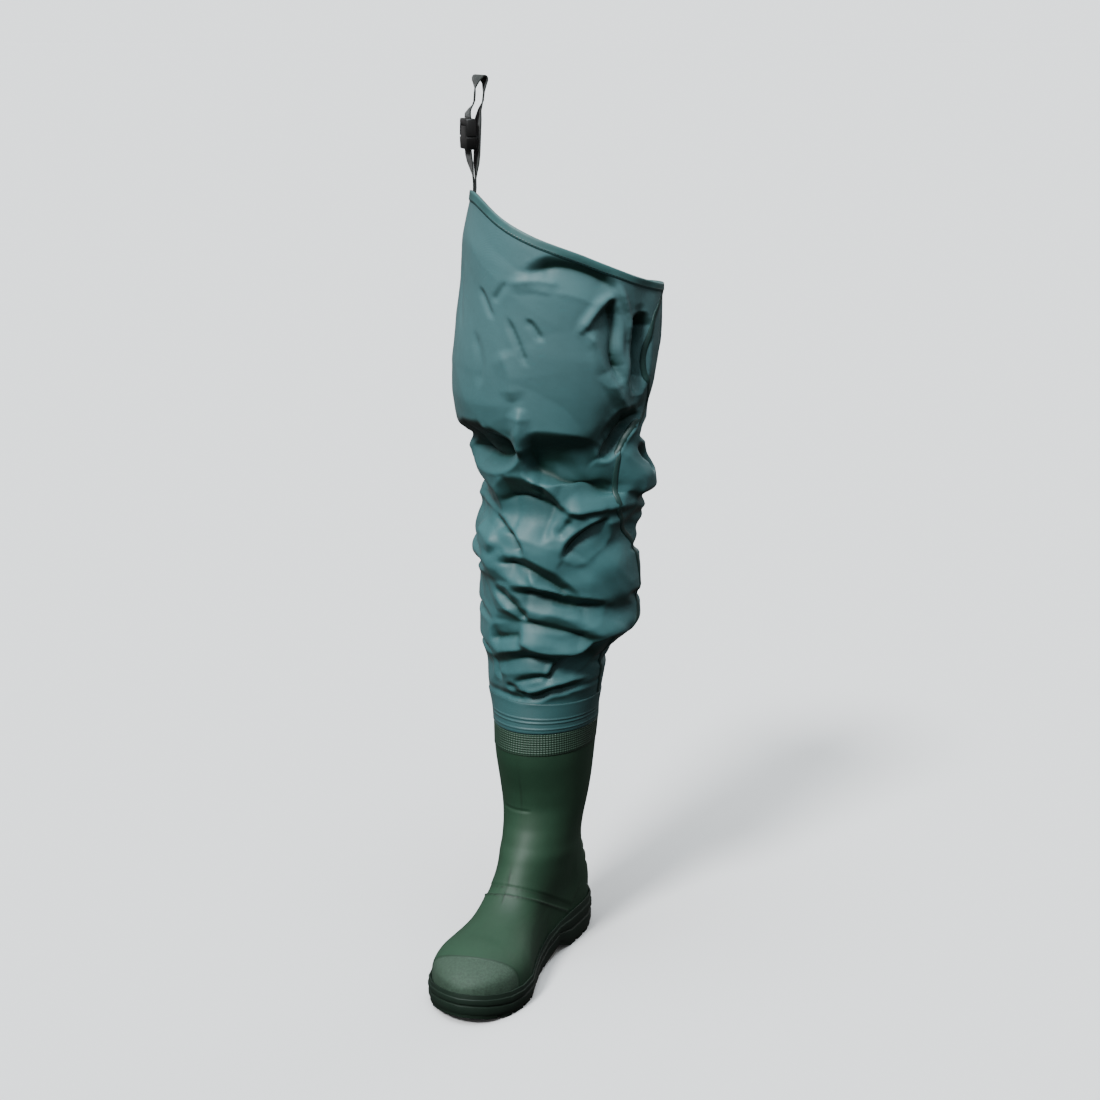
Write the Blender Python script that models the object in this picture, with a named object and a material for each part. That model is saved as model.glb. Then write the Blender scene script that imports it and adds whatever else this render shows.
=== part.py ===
"""Hip wader for the right foot: a moulded boot with a coated fabric leg welded to its top.

Metres, +Z up. The leg faces -Y and its outer side is -X. The foot is turned outward under it.
The foot is modelled along -Y with the back of its heel at y = 0, and is then turned to its place.
"""

import math

import bmesh
import bpy
from mathutils import Matrix, Vector

# Foot and sole
SOLE_LENGTH = 0.310
BALL_WIDTH = 0.108
HEEL_SEAT = 0.034
BALL_SEAT = 0.018
TOE_SEAT = 0.028
TOE_SPRING = 0.009
ARCH_RISE = 0.011
LUG_DEPTH = 0.004
LUG_INSET = 0.0015
GROOVE_WIDTH = 0.005
GROOVE_TURN = math.radians(14)
LIP_HEIGHT = 0.010
LIP_WALL = 0.002
INSOLE_THICKNESS = 0.004
INSOLE_CLEARANCE = 0.0015

# Boot
INSTEP_HEIGHT = 0.150
BOOT_HEIGHT = 0.262
SHAFT_WIDTH = 0.111
BOOT_WALL = 0.0024
FOOT_TURN = math.radians(23)
BAND_HEIGHT = 0.024
BAND_WALL = 0.0013
CAP_RAISE = 0.0009
COUNTER_RAISE = 0.0010
ANKLE_BAND_WIDTH = 0.012
LEDGE_RAISE = 0.0032
SHIN_RIDGE_RAISE = 0.0014
SHIN_RIDGE_LENGTH = 0.036

# Leg
LEG_HEIGHT = 0.573
THIGH_WIDTH = 0.223
LEG_WALL = 0.0010
CUFF_HEIGHT = 0.034
CUFF_WALL = 0.0009
HEM_HEIGHT = 0.010
HEM_WALL = 0.0011
TAPE_WIDTH = 0.009
TAPE_WALL = 0.0008
TAPE_CUT = 0.012
TAPE_STEP = 0.006

# Belt loop and buckle
WEBBING_WIDTH = 0.025
WEBBING_WALL = 0.0015
STRAP_RISE = 0.115
SEWN_LENGTH = 0.034
SEWN_SLACK = 0.0005
LOOP_TWIST = math.radians(28)
STRAP_TURN = math.radians(16)
BUCKLE_WIDTH = 0.033
BUCKLE_LENGTH = 0.031
BUCKLE_WALL = 0.0105
BUCKLE_ARM = 0.0045
BUCKLE_EDGE = 0.0012

GAP = 0.0003
AROUND = 34


class Table:
    """Rows with named columns, read as smooth curves over the first column."""

    def __init__(self, columns, *rows):
        self.columns = columns.split()
        self.rows = rows

    def read(self, column, at):
        index = self.columns.index(column)
        places = [row[0] for row in self.rows]
        values = [row[index] for row in self.rows]
        if at <= places[0]:
            return values[0]
        if at >= places[-1]:
            return values[-1]
        left = max(i for i, place in enumerate(places[:-1]) if place <= at)
        steps = [b - a for a, b in zip(places, places[1:])]
        rises = [(b - a) / step for a, b, step in zip(values, values[1:], steps)]

        def slope(i):
            if i in (0, len(rises)) or rises[i - 1] * rises[i] <= 0:
                return 0.0
            return 2 / (1 / rises[i - 1] + 1 / rises[i])

        step = steps[left]
        part = (at - places[left]) / step
        hold = (1 - part) ** 2 * (1 + 2 * part) * values[left]
        reach = part**2 * (3 - 2 * part) * values[left + 1]
        bend = part * (1 - part) ** 2 * slope(left) - part**2 * (1 - part) * slope(left + 1)
        return hold + reach + step * bend


def smooth(low, high, at):
    part = min(1.0, max(0.0, (at - low) / (high - low)))
    return part * part * (3 - 2 * part)


# Plan of the foot. along: share of its length from the heel. Edges: shares of the ball width.
PLAN = Table(
    "along medial lateral",
    (0.00, 0.345, 0.350),
    (0.20, 0.352, 0.365),
    (0.35, 0.315, 0.365),
    (0.45, 0.288, 0.375),
    (0.55, 0.315, 0.410),
    (0.65, 0.390, 0.470),
    (0.74, 0.458, 0.542),
    (0.82, 0.460, 0.540),
    (0.92, 0.450, 0.480),
    (1.00, 0.450, 0.390),
)
TOE_ROUND = 0.23
HEEL_ROUND = 0.135
ROUND_POWER = 2.15

# Side view. level: 0 seat, 1 instep, 2 boot top. front, back: shares of the foot's length from
# the heel. half: half width, a share of the shaft's width.
PROFILE = Table(
    "level front back half",
    (0.00, 1.000, 0.000, 0.440),
    (0.09, 1.000, 0.000, 0.440),
    (0.14, 0.998, -0.003, 0.440),
    (0.21, 0.974, 0.000, 0.440),
    (0.30, 0.906, 0.003, 0.440),
    (0.37, 0.815, 0.008, 0.434),
    (0.42, 0.730, 0.012, 0.404),
    (0.47, 0.656, 0.017, 0.388),
    (0.54, 0.598, 0.025, 0.376),
    (0.62, 0.563, 0.037, 0.366),
    (0.71, 0.537, 0.050, 0.356),
    (0.80, 0.508, 0.059, 0.353),
    (0.90, 0.474, 0.062, 0.361),
    (1.00, 0.446, 0.059, 0.379),
    (1.18, 0.424, 0.050, 0.412),
    (1.45, 0.436, 0.032, 0.450),
    (1.76, 0.462, 0.014, 0.480),
    (2.00, 0.452, 0.007, 0.500),
)
WALL_LEVEL = 0.09
OVER_FOOT = Table("front level", *[(row[1], row[0]) for row in PROFILE.rows[:0:-1] if row[0] <= 1.0])
DOME_POWER = 2.4
FOOT_ENDS_LEVEL = 0.35
SHAFT_STARTS_LEVEL = 0.90
SEAT_FADES_LEVEL = 0.667
BOOT_LEVELS = (
    0.17, 0.215, 0.26, 0.30, 0.345, 0.39, 0.435, 0.485, 0.54, 0.60, 0.67, 0.75, 0.85, 1.00, 1.18,
    1.40, 1.65,
)

# Side of the sole. share: of its height. step: outward, a share of the lip's wall.
SOLE_SIDE = Table(
    "share step",
    (0.00, -0.50),
    (0.12, 0.00),
    (0.40, 0.15),
    (0.43, -0.40),
    (0.50, -0.40),
    (0.53, 0.30),
    (0.76, 0.30),
    (0.79, -0.15),
    (1.00, -0.10),
)
GROOVES = (0.075, 0.135, 0.195, 0.255, 0.520, 0.580, 0.640, 0.700, 0.760, 0.820, 0.880, 0.935)

# Half sections of the leg. height: share of its height. Reaches: shares of the thigh's width.
LEG_SECTIONS = Table(
    "height lateral medial front back",
    (0.020, 0.269, 0.256, 0.278, 0.278),
    (0.070, 0.286, 0.276, 0.300, 0.287),
    (0.130, 0.291, 0.305, 0.336, 0.305),
    (0.148, 0.311, 0.325, 0.350, 0.314),
    (0.172, 0.321, 0.420, 0.381, 0.336),
    (0.205, 0.316, 0.456, 0.399, 0.354),
    (0.250, 0.319, 0.462, 0.408, 0.372),
    (0.280, 0.315, 0.454, 0.399, 0.386),
    (0.312, 0.349, 0.452, 0.404, 0.404),
    (0.345, 0.354, 0.446, 0.408, 0.417),
    (0.380, 0.345, 0.442, 0.399, 0.424),
    (0.427, 0.298, 0.486, 0.399, 0.404),
    (0.471, 0.321, 0.539, 0.408, 0.395),
    (0.500, 0.333, 0.508, 0.417, 0.408),
    (0.530, 0.368, 0.471, 0.426, 0.417),
    (0.560, 0.418, 0.475, 0.435, 0.426),
    (0.600, 0.442, 0.484, 0.444, 0.435),
    (0.657, 0.455, 0.516, 0.453, 0.444),
    (0.730, 0.438, 0.544, 0.462, 0.442),
    (0.820, 0.404, 0.551, 0.457, 0.435),
    (0.900, 0.398, 0.545, 0.445, 0.428),
    (1.000, 0.350, 0.516, 0.413, 0.404),
)
BOOT_FIT_HEIGHT = 0.055

# Collar. turn: degrees from the inner side. front, back: height of the edge, share of the leg's.
COLLAR = Table(
    "turn front back",
    (0, 0.832, 0.832),
    (37, 0.853, 0.826),
    (59, 0.880, 0.838),
    (78, 0.908, 0.857),
    (100, 0.934, 0.884),
    (120, 0.957, 0.914),
    (141, 0.984, 0.950),
    (160, 1.000, 0.982),
    (180, 1.000, 1.000),
)
SLANT_STARTS = 0.45

# Main folds of the leg. Ends: turn in degrees from the inner side by the back, and height share.
# wide, deep: shares of the thigh's width, where a ridge has a negative depth.
FOLDS = Table(
    "turn height end_turn end_height wide deep",
    (288, 0.745, 308, 0.820, 0.060, 0.024),
    (325, 0.840, 319, 0.710, 0.070, 0.040),
    (311, 0.820, 313, 0.715, 0.045, -0.018),
    (186, 0.545, 240, 0.560, 0.085, 0.034),
    (258, 0.525, 300, 0.545, 0.085, 0.034),
    (303, 0.605, 322, 0.530, 0.060, 0.045),
    (268, 0.492, 322, 0.452, 0.075, -0.028),
    (182, 0.452, 280, 0.400, 0.070, 0.036),
    (284, 0.325, 345, 0.405, 0.070, 0.036),
    (194, 0.428, 248, 0.328, 0.060, 0.026),
    (196, 0.318, 276, 0.256, 0.050, 0.026),
    (276, 0.256, 348, 0.218, 0.050, 0.026),
    (222, 0.190, 312, 0.150, 0.050, 0.022),
    (355, 0.175, 288, 0.108, 0.060, 0.030),
    (192, 0.135, 222, 0.075, 0.050, 0.020),
    (190, 0.060, 345, 0.072, 0.045, 0.022),
    (20, 0.520, 150, 0.470, 0.080, 0.050),
    (35, 0.430, 165, 0.400, 0.070, 0.040),
    (15, 0.350, 120, 0.330, 0.065, 0.032),
    (60, 0.270, 170, 0.250, 0.060, 0.030),
    (10, 0.190, 130, 0.170, 0.060, 0.030),
    (70, 0.105, 165, 0.110, 0.050, 0.022),
    (60, 0.700, 75, 0.560, 0.060, 0.026),
    (120, 0.760, 110, 0.600, 0.070, 0.024),
)
FOLD_RUN_OUT = 0.35

# Line of the inner seam, from the boot to the collar
SEAM = Table(
    "height turn",
    (0.065, 343),
    (0.110, 340),
    (0.160, 352),
    (0.225, 351),
    (0.292, 351),
    (0.349, 343),
    (0.390, 322),
    (0.456, 310),
    (0.526, 315),
    (0.564, 330),
    (0.600, 346),
    (0.650, 341),
    (0.700, 330),
    (0.740, 337),
    (0.785, 348),
    (0.825, 352),
)

# Belt loop above the collar. rise: share of its height. long, short: how far each run of webbing
# leans inward from where it is sewn, shares of the webbing's width.
LOOP = Table(
    "rise long short",
    (0.00, 0.00, 0.00),
    (0.04, 0.00, 0.00),
    (0.35, 0.08, -0.23),
    (0.66, 0.15, -0.23),
    (0.76, 0.32, 0.04),
    (0.88, 0.38, 0.08),
    (1.00, 0.42, 0.12),
)
BUCKLE_RISE = 0.35
TWIST_RISE = 0.86
TURN_RISES = (0.04, 0.28, 0.64, 0.74)
CROWN_RISE = 0.92
CROWN_STEPS = 12

COLOURS = {
    "pvc": ((0.017, 0.045, 0.028), 0.38),
    "sole": ((0.010, 0.024, 0.013), 0.55),
    "tape": ((0.036, 0.082, 0.055), 0.60),
    "fabric": ((0.082, 0.180, 0.188), 0.48),
    "hem": ((0.070, 0.165, 0.168), 0.50),
    "webbing": ((0.012, 0.018, 0.014), 0.85),
    "plastic": ((0.010, 0.010, 0.010), 0.40),
    "foam": ((0.050, 0.055, 0.050), 0.90),
}


def clear_scene():
    for thing in list(bpy.data.objects):
        bpy.data.objects.remove(thing, do_unlink=True)


def material(name):
    made = bpy.data.materials.get(name)
    if made:
        return made
    colour, roughness = COLOURS[name]
    made = bpy.data.materials.new(name)
    made.use_nodes = True
    shader = made.node_tree.nodes["Principled BSDF"]
    shader.inputs["Base Color"].default_value = (*colour, 1)
    shader.inputs["Roughness"].default_value = roughness
    shader.inputs["Metallic"].default_value = 0.0
    return made


def keep(name, bm, finish):
    """Makes the mesh a named object with its finish, its faces pointing out."""
    bmesh.ops.recalc_face_normals(bm, faces=bm.faces[:])
    mesh = bpy.data.meshes.new(name)
    bm.to_mesh(mesh)
    bm.free()
    thing = bpy.data.objects.new(name, mesh)
    bpy.context.scene.collection.objects.link(thing)
    mesh.materials.append(material(finish))
    mesh.shade_smooth()
    mesh.set_sharp_from_angle(angle=math.radians(40))
    return thing


def apply_modifiers(thing):
    bpy.context.view_layer.update()
    graph = bpy.context.evaluated_depsgraph_get()
    mesh = bpy.data.meshes.new_from_object(thing.evaluated_get(graph))
    thing.modifiers.clear()
    thing.data = mesh


def thicken(thing, inward, outward=0.0):
    """Gives an open skin a wall that reaches from `inward` behind it to `outward` before it."""
    wall = thing.modifiers.new("wall", "SOLIDIFY")
    wall.thickness = inward + outward
    wall.offset = (outward - inward) / (inward + outward)
    wall.use_even_offset = True
    wall.use_rim = True
    apply_modifiers(thing)
    return thing


def close_slivers(mesh):
    """Fills the three-sided gaps that a join can leave between nearly parallel faces."""
    bm = bmesh.new()
    bm.from_mesh(mesh)
    rim = [edge for edge in bm.edges if len(edge.link_faces) == 1]
    if rim:
        bmesh.ops.holes_fill(bm, edges=rim, sides=4)
        bm.to_mesh(mesh)
    bm.free()


def combine(thing, other, operation):
    """Joins, cuts or trims one solid by another, which is used up."""
    step = thing.modifiers.new(operation.lower(), "BOOLEAN")
    step.operation = operation
    step.solver = "EXACT"
    step.object = other
    apply_modifiers(thing)
    close_slivers(thing.data)
    bpy.data.objects.remove(other, do_unlink=True)
    return thing


def tube_mesh(rings):
    """An open tube through rings that run anticlockwise, from the lowest to the highest."""
    bm = bmesh.new()
    loops = [[bm.verts.new(point) for point in ring] for ring in rings]
    for low, high in zip(loops, loops[1:]):
        for k in range(len(low)):
            m = (k + 1) % len(low)
            bm.faces.new((low[k], low[m], high[m], high[k]))
    return bm, loops


def close_across(bm, loop):
    """Closes a loop that starts at the heel's back with strips across the foot."""
    count = len(loop)
    half = count // 2
    bm.faces.new((loop[0], loop[1], loop[count - 1]))
    for k in range(1, half - 1):
        bm.faces.new((loop[k], loop[k + 1], loop[count - k - 1], loop[count - k]))
    bm.faces.new((loop[half - 1], loop[half], loop[half + 1]))


def foot_solid(name, rings, finish):
    bm, loops = tube_mesh(rings)
    close_across(bm, loops[0])
    close_across(bm, loops[-1])
    return keep(name, bm, finish)


def box(name, low, high, turn=None):
    """A helper block between two corners, turned about its own middle where a turn is given."""
    bm = bmesh.new()
    bmesh.ops.create_cube(bm, size=1.0)
    low, high = Vector(low), Vector(high)
    bmesh.ops.scale(bm, vec=high - low, verts=bm.verts[:])
    if turn:
        bmesh.ops.rotate(bm, matrix=turn, verts=bm.verts[:])
    bmesh.ops.translate(bm, vec=(low + high) / 2, verts=bm.verts[:])
    helper = keep(name, bm, "foam")
    helper.hide_render = True
    helper.display_type = "WIRE"
    return helper


def offset_ring(ring, distance):
    """The ring moved outward by a distance in plan, square to its own edges."""
    moved = []
    for k, point in enumerate(ring):
        before = ring[k - 1]
        after = ring[(k + 1) % len(ring)]
        first = Vector((point.y - before.y, before.x - point.x)).normalized()
        second = Vector((after.y - point.y, point.x - after.x)).normalized()
        middle = (first + second).normalized()
        reach = distance / max(0.5, middle.dot(first))
        moved.append(point + Vector((middle.x * reach, middle.y * reach, 0)))
    return moved


# Foot forms, along -Y from the heel
UPPER_INSET = LIP_WALL + GAP
UPPER_LENGTH = SOLE_LENGTH - 2 * UPPER_INSET
UPPER_WIDTH = BALL_WIDTH - 2 * UPPER_INSET


def seat_height(along):
    """Height of the surface that the foot stands on."""
    to_ball = smooth(0.27, 0.62, along)
    to_toe = max(0.0, (along - 0.80) / 0.20) ** 1.6
    return HEEL_SEAT + (BALL_SEAT - HEEL_SEAT) * to_ball + (TOE_SEAT - BALL_SEAT) * to_toe


def ground_height(along):
    """Height of the lugs' undersides: flat heel, arch, flat forefoot and toe spring."""
    arch = smooth(0.285, 0.315, along) * (1 - smooth(0.40, 0.48, along))
    toe = max(0.0, (along - 0.85) / 0.15) ** 1.6
    return ARCH_RISE * arch + TOE_SPRING * toe


def end_round(along):
    """Share of the plan's width that is left by the round heel and toe."""
    share = 1.0
    if along < HEEL_ROUND:
        share = max(0.0, 1 - (1 - along / HEEL_ROUND) ** ROUND_POWER) ** (1 / ROUND_POWER)
    if along > 1 - TOE_ROUND:
        left = (1 - along) / TOE_ROUND
        share = max(0.0, 1 - (1 - max(0.0, left)) ** ROUND_POWER) ** (1 / ROUND_POWER)
    return share


def plan(along):
    """Middle and half width of the foot at a share of its length."""
    along = min(1.0, max(0.0, along))
    medial = PLAN.read("medial", along) * UPPER_WIDTH
    lateral = PLAN.read("lateral", along) * UPPER_WIDTH
    return (medial - lateral) / 2, (medial + lateral) / 2 * end_round(along)


def level_height(level):
    """Height above the floor of a level, before the seat's own rise is added."""
    if level <= 1:
        return level * INSTEP_HEIGHT
    return INSTEP_HEIGHT + (level - 1) * (BOOT_HEIGHT - INSTEP_HEIGHT)


def height_at(level, along):
    seat = seat_height(along) * max(0.0, 1 - level / SEAT_FADES_LEVEL)
    return level_height(level) + seat


def dome(level, along):
    """Share of the plan's width at a level, below the foot's top line."""
    if level <= WALL_LEVEL:
        return 1.0
    over = OVER_FOOT.read("level", along)
    shin = OVER_FOOT.rows[0][0]
    if along < shin:
        over += (shin - along) * 6
    share = min(1.0, (level - WALL_LEVEL) / (over - WALL_LEVEL))
    return math.sqrt(max(0.0, 1 - share**DOME_POWER))


def boot_ring(level):
    """The boot's outer surface at one level, from the heel round by the outer side."""
    front = PROFILE.read("front", level)
    back = PROFILE.read("back", level)
    shaft_half = PROFILE.read("half", level) * SHAFT_WIDTH
    is_shaft = smooth(FOOT_ENDS_LEVEL, SHAFT_STARTS_LEVEL, level)
    half_count = AROUND // 2
    sides = []
    for k in range(half_count + 1):
        step = (1 - math.cos(math.pi * k / half_count)) / 2
        along = back + (front - back) * step
        middle, foot_half = plan(along - back * (1 - step))
        foot_half *= dome(level, along)
        shaft = shaft_half * math.sin(math.pi * k / half_count)
        half = foot_half + (shaft - foot_half) * is_shaft
        middle *= 1 - is_shaft
        sides.append((middle, half, -along * UPPER_LENGTH, height_at(level, along)))
    outer = [Vector((middle - half, y, z)) for middle, half, y, z in sides]
    inner = [Vector((middle + half, y, z)) for middle, half, y, z in sides[1:-1]]
    return outer + inner[::-1]


LIP_LEVEL = LIP_HEIGHT / INSTEP_HEIGHT
BAND_LEVEL = 2 - BAND_HEIGHT / (BOOT_HEIGHT - INSTEP_HEIGHT)


def lifted(ring, rise):
    return [point + Vector((0, 0, rise)) for point in ring]


def boot_skin(name):
    levels = (0.0, LIP_LEVEL, 0.12, *BOOT_LEVELS, BAND_LEVEL, 2.0)
    rings = [boot_ring(level) for level in levels]
    rings[0] = lifted(rings[0], GAP)
    bm, _ = tube_mesh(rings)
    return keep(name, bm, "pvc")


def tilt(degrees, axis="X"):
    return Matrix.Rotation(math.radians(degrees), 3, axis)


def wall_steps():
    """Raised places of the boot's wall: how far each stands out, its lowest edge and its blocks."""
    wide = BALL_WIDTH
    long = SOLE_LENGTH
    rand = LIP_HEIGHT + 0.002
    band = 0.80 * INSTEP_HEIGHT
    cap = ((-wide, -1.2 * long, TOE_SEAT + rand), (wide, -0.765 * long, INSTEP_HEIGHT), tilt(-9, "Z"))
    counter = ((-wide, -0.235 * long, HEEL_SEAT), (wide, 0.1 * long, 0.76 * INSTEP_HEIGHT), tilt(13))
    ankle_band = (
        (-wide, -0.62 * long, band - ANKLE_BAND_WIDTH / 2),
        (wide, -0.16 * long, band + ANKLE_BAND_WIDTH / 2),
        tilt(-9),
    )
    ledges = []
    for share, thick in ((0.73, 0.0045), (0.65, 0.0045), (0.55, 0.0060)):
        middle = share * INSTEP_HEIGHT
        low = (-0.22 * wide, -0.09 * long, middle - thick / 2)
        ledges.append((low, (0.22 * wide, 0.1 * long, middle + thick / 2), None))
    ridge = INSTEP_HEIGHT + 0.16 * (BOOT_HEIGHT - INSTEP_HEIGHT)
    half = SHIN_RIDGE_LENGTH / 2
    shin = ((-half, -0.7 * long, ridge - 0.0012), (half, -0.3 * long, ridge + 0.0012), None)
    return (
        (CAP_RAISE, TOE_SEAT + rand, [cap]),
        (COUNTER_RAISE, HEEL_SEAT + rand, [counter, ankle_band]),
        (LEDGE_RAISE, HEEL_SEAT + rand, ledges),
        (SHIN_RIDGE_RAISE, HEEL_SEAT + rand, [shin]),
    )


def boot_upper():
    boot = thicken(boot_skin("boot_upper"), BOOT_WALL)
    reach = BALL_WIDTH + SOLE_LENGTH
    for k, (rise, floor, blocks) in enumerate(wall_steps()):
        bounds = box("bounds", *blocks[0])
        for block in blocks[1:]:
            combine(bounds, box("block", *block), "UNION")
        combine(bounds, box("above", (-reach, -2 * reach, floor), (reach, reach, BOOT_HEIGHT)), "INTERSECT")
        # Each step starts at its own depth in the wall, so that two never share a face
        skin = thicken(boot_skin("raised"), BOOT_WALL * (0.35 + 0.1 * k), rise)
        combine(skin, bounds, "INTERSECT")
        combine(boot, skin, "UNION")
    return boot


def boot_band():
    """The ribbed tape round the boot's top, over the weld."""
    bm, _ = tube_mesh([boot_ring(BAND_LEVEL), boot_ring(2.0)])
    return thicken(keep("boot_band", bm, "tape"), -GAP, GAP + BAND_WALL)


def along_of(point):
    return -point.y / UPPER_LENGTH


def at_height(ring, height):
    """The ring with each point at the height that a function gives for its place."""
    return [Vector((p.x, p.y, height(min(1.0, max(0.0, along_of(p)))))) for p in ring]


def outsole():
    upper = boot_ring(0.0)
    seat = offset_ring(upper, -BOOT_WALL)
    lip_inner = offset_ring(upper, GAP)
    edge = offset_ring(upper, GAP + LIP_WALL)

    def base(along):
        return ground_height(along) + LUG_DEPTH

    def lip(along):
        return height_at(LIP_LEVEL, along)

    rings = []
    for share, step in SOLE_SIDE.rows:
        ring = offset_ring(edge, step * LIP_WALL)
        rings.append(at_height(ring, lambda a, s=share: base(a) + s * (lip(a) - base(a))))
    rings.append(at_height(lip_inner, lip))
    rings.append(at_height(lip_inner, seat_height))
    rings.append(at_height(seat, seat_height))
    sole = foot_solid("outsole", rings, "sole")
    tread_edge = offset_ring(edge, -LUG_INSET)
    tread = foot_solid(
        "tread",
        [
            at_height(tread_edge, ground_height),
            at_height(tread_edge, lambda a: base(a) + LUG_DEPTH / 2),
        ],
        "sole",
    )
    for along in GROOVES:
        for side in (-1, 1):
            reach = BALL_WIDTH
            groove = box(
                "groove_cutter",
                (-reach / 2, -GROOVE_WIDTH / 2, -reach / 2),
                (reach / 2, GROOVE_WIDTH / 2, reach / 2),
            )
            turn = Matrix.Rotation(side * GROOVE_TURN, 4, "Z")
            out = Matrix.Translation((side * reach / 2 * 0.96, 0, 0))
            place = Matrix.Translation((0, -along * SOLE_LENGTH, 0))
            groove.data.transform(place @ turn @ out)
            combine(tread, groove, "DIFFERENCE")
    combine(sole, tread, "UNION")
    return sole


def insole():
    inside = offset_ring(boot_ring(0.0), -(BOOT_WALL + INSOLE_CLEARANCE))
    rings = [
        at_height(inside, lambda a: seat_height(a) + GAP),
        at_height(inside, lambda a: seat_height(a) + GAP + INSOLE_THICKNESS),
    ]
    return foot_solid("insole", rings, "foam")


def shaft_axis():
    top = [PROFILE.rows[-1][PROFILE.columns.index(side)] for side in ("front", "back")]
    return -sum(top) / 2 * UPPER_LENGTH, (top[0] - top[1]) / 2 * UPPER_LENGTH


def stand_under_leg(things):
    """Turns the foot outward and brings the boot's top under the leg."""
    middle, _ = shaft_axis()
    place = Matrix.Rotation(-FOOT_TURN, 4, "Z") @ Matrix.Translation((0, -middle, 0))
    for thing in things:
        thing.data.transform(place)


# Leg forms, about the boot's axis


def fold_depth(turn, height, section):
    """How far the folds press the fabric in at one place, in metres."""
    total = 0.0
    for row in FOLDS.rows:
        from_turn, from_height, to_turn, to_height, wide, deep = row
        middle = (from_turn + to_turn) / 2
        away = (turn - middle + 180) % 360 - 180
        across = math.radians(away) * section
        up = (height - (from_height + to_height) / 2) * LEG_HEIGHT
        run = Vector((math.radians(to_turn - from_turn) * section, (to_height - from_height) * LEG_HEIGHT))
        length = run.length
        run.normalize()
        spot = Vector((across, up))
        along = spot.dot(run)
        aside = spot.x * run.y - spot.y * run.x
        beyond = max(0.0, abs(along) - length / 2 * (1 - FOLD_RUN_OUT))
        beyond /= length / 2 * FOLD_RUN_OUT + wide * THIGH_WIDTH
        if beyond >= 1:
            continue
        profile = math.exp(-((aside / (wide * THIGH_WIDTH)) ** 2) * 2)
        total += deep * THIGH_WIDTH * profile * (1 - smooth(0, 1, beyond))
    return total


def collar_share(turn):
    turn %= 360
    if turn > 180:
        return COLLAR.read("front", 360 - turn)
    return COLLAR.read("back", turn)


def leg_point(turn, height, out=0.0):
    """A point of the leg's outer side at a turn in degrees and a share of the leg's height."""
    angle = math.radians(turn)
    x_side = "medial" if math.cos(angle) > 0 else "lateral"
    y_side = "back" if math.sin(angle) > 0 else "front"
    x_reach = LEG_SECTIONS.read(x_side, height) * THIGH_WIDTH
    y_reach = LEG_SECTIONS.read(y_side, height) * THIGH_WIDTH
    is_leg = smooth(0.0, BOOT_FIT_HEIGHT, height)
    section = (x_reach + y_reach) / 2
    sink = fold_depth(turn, height, section) * is_leg - out
    leg = Vector(((x_reach - sink) * math.cos(angle), (y_reach - sink) * math.sin(angle)))
    _, half_depth = shaft_axis()
    foot_angle = angle + FOOT_TURN
    boot = Vector(
        ((SHAFT_WIDTH / 2 + out) * math.cos(foot_angle), (half_depth + out) * math.sin(foot_angle))
    )
    boot.rotate(Matrix.Rotation(-FOOT_TURN, 2))
    flat = boot.lerp(leg, is_leg)
    return Vector((flat.x, flat.y, BOOT_HEIGHT + GAP + height * LEG_HEIGHT))


LEG_HEIGHTS = (
    0.025, CUFF_HEIGHT / LEG_HEIGHT, 0.090, 0.120, 0.147, 0.172, 0.200, 0.232, 0.264, 0.296, 0.328,
    0.360, 0.392, 0.424, 0.456, 0.488, 0.520, 0.552, 0.590, 0.640, 0.700, 0.770, 0.850, 0.930,
)


def leg_rings():
    """Rings of the leg, level at the boot and slanted with the collar at the top."""
    turns = [360 * k / AROUND for k in range(AROUND)]
    rings = [[leg_point(turn, 0.0) for turn in turns]]
    hem_share = HEM_HEIGHT / LEG_HEIGHT
    for share in LEG_HEIGHTS:
        slant = smooth(SLANT_STARTS, 1.0, share)
        ring = []
        for turn in turns:
            top = collar_share(turn) - hem_share
            ring.append(leg_point(turn, share * (1 - (1 - top) * slant)))
        rings.append(ring)
    rings.append([leg_point(turn, collar_share(turn) - hem_share) for turn in turns])
    rings.append([leg_point(turn, collar_share(turn)) for turn in turns])
    return rings


def leg_skin(name, rings, finish):
    """An open skin of the leg, in triangles, so that all that lies on it bends along the same lines."""
    bm, _ = tube_mesh(rings)
    bmesh.ops.triangulate(bm, faces=bm.faces[:], quad_method="FIXED")
    return keep(name, bm, finish)


def leg():
    return thicken(leg_skin("leg", leg_rings(), "fabric"), LEG_WALL)


def leg_cuff():
    """The doubled band of fabric over the weld, above the boot's tape."""
    count = 1 + LEG_HEIGHTS.index(CUFF_HEIGHT / LEG_HEIGHT) + 1
    cuff = leg_skin("leg_cuff", leg_rings()[:count], "fabric")
    return thicken(cuff, -GAP, GAP + CUFF_WALL)


def collar_hem():
    hem = leg_skin("collar_hem", leg_rings()[-2:], "hem")
    return thicken(hem, -GAP, GAP + HEM_WALL)


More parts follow.
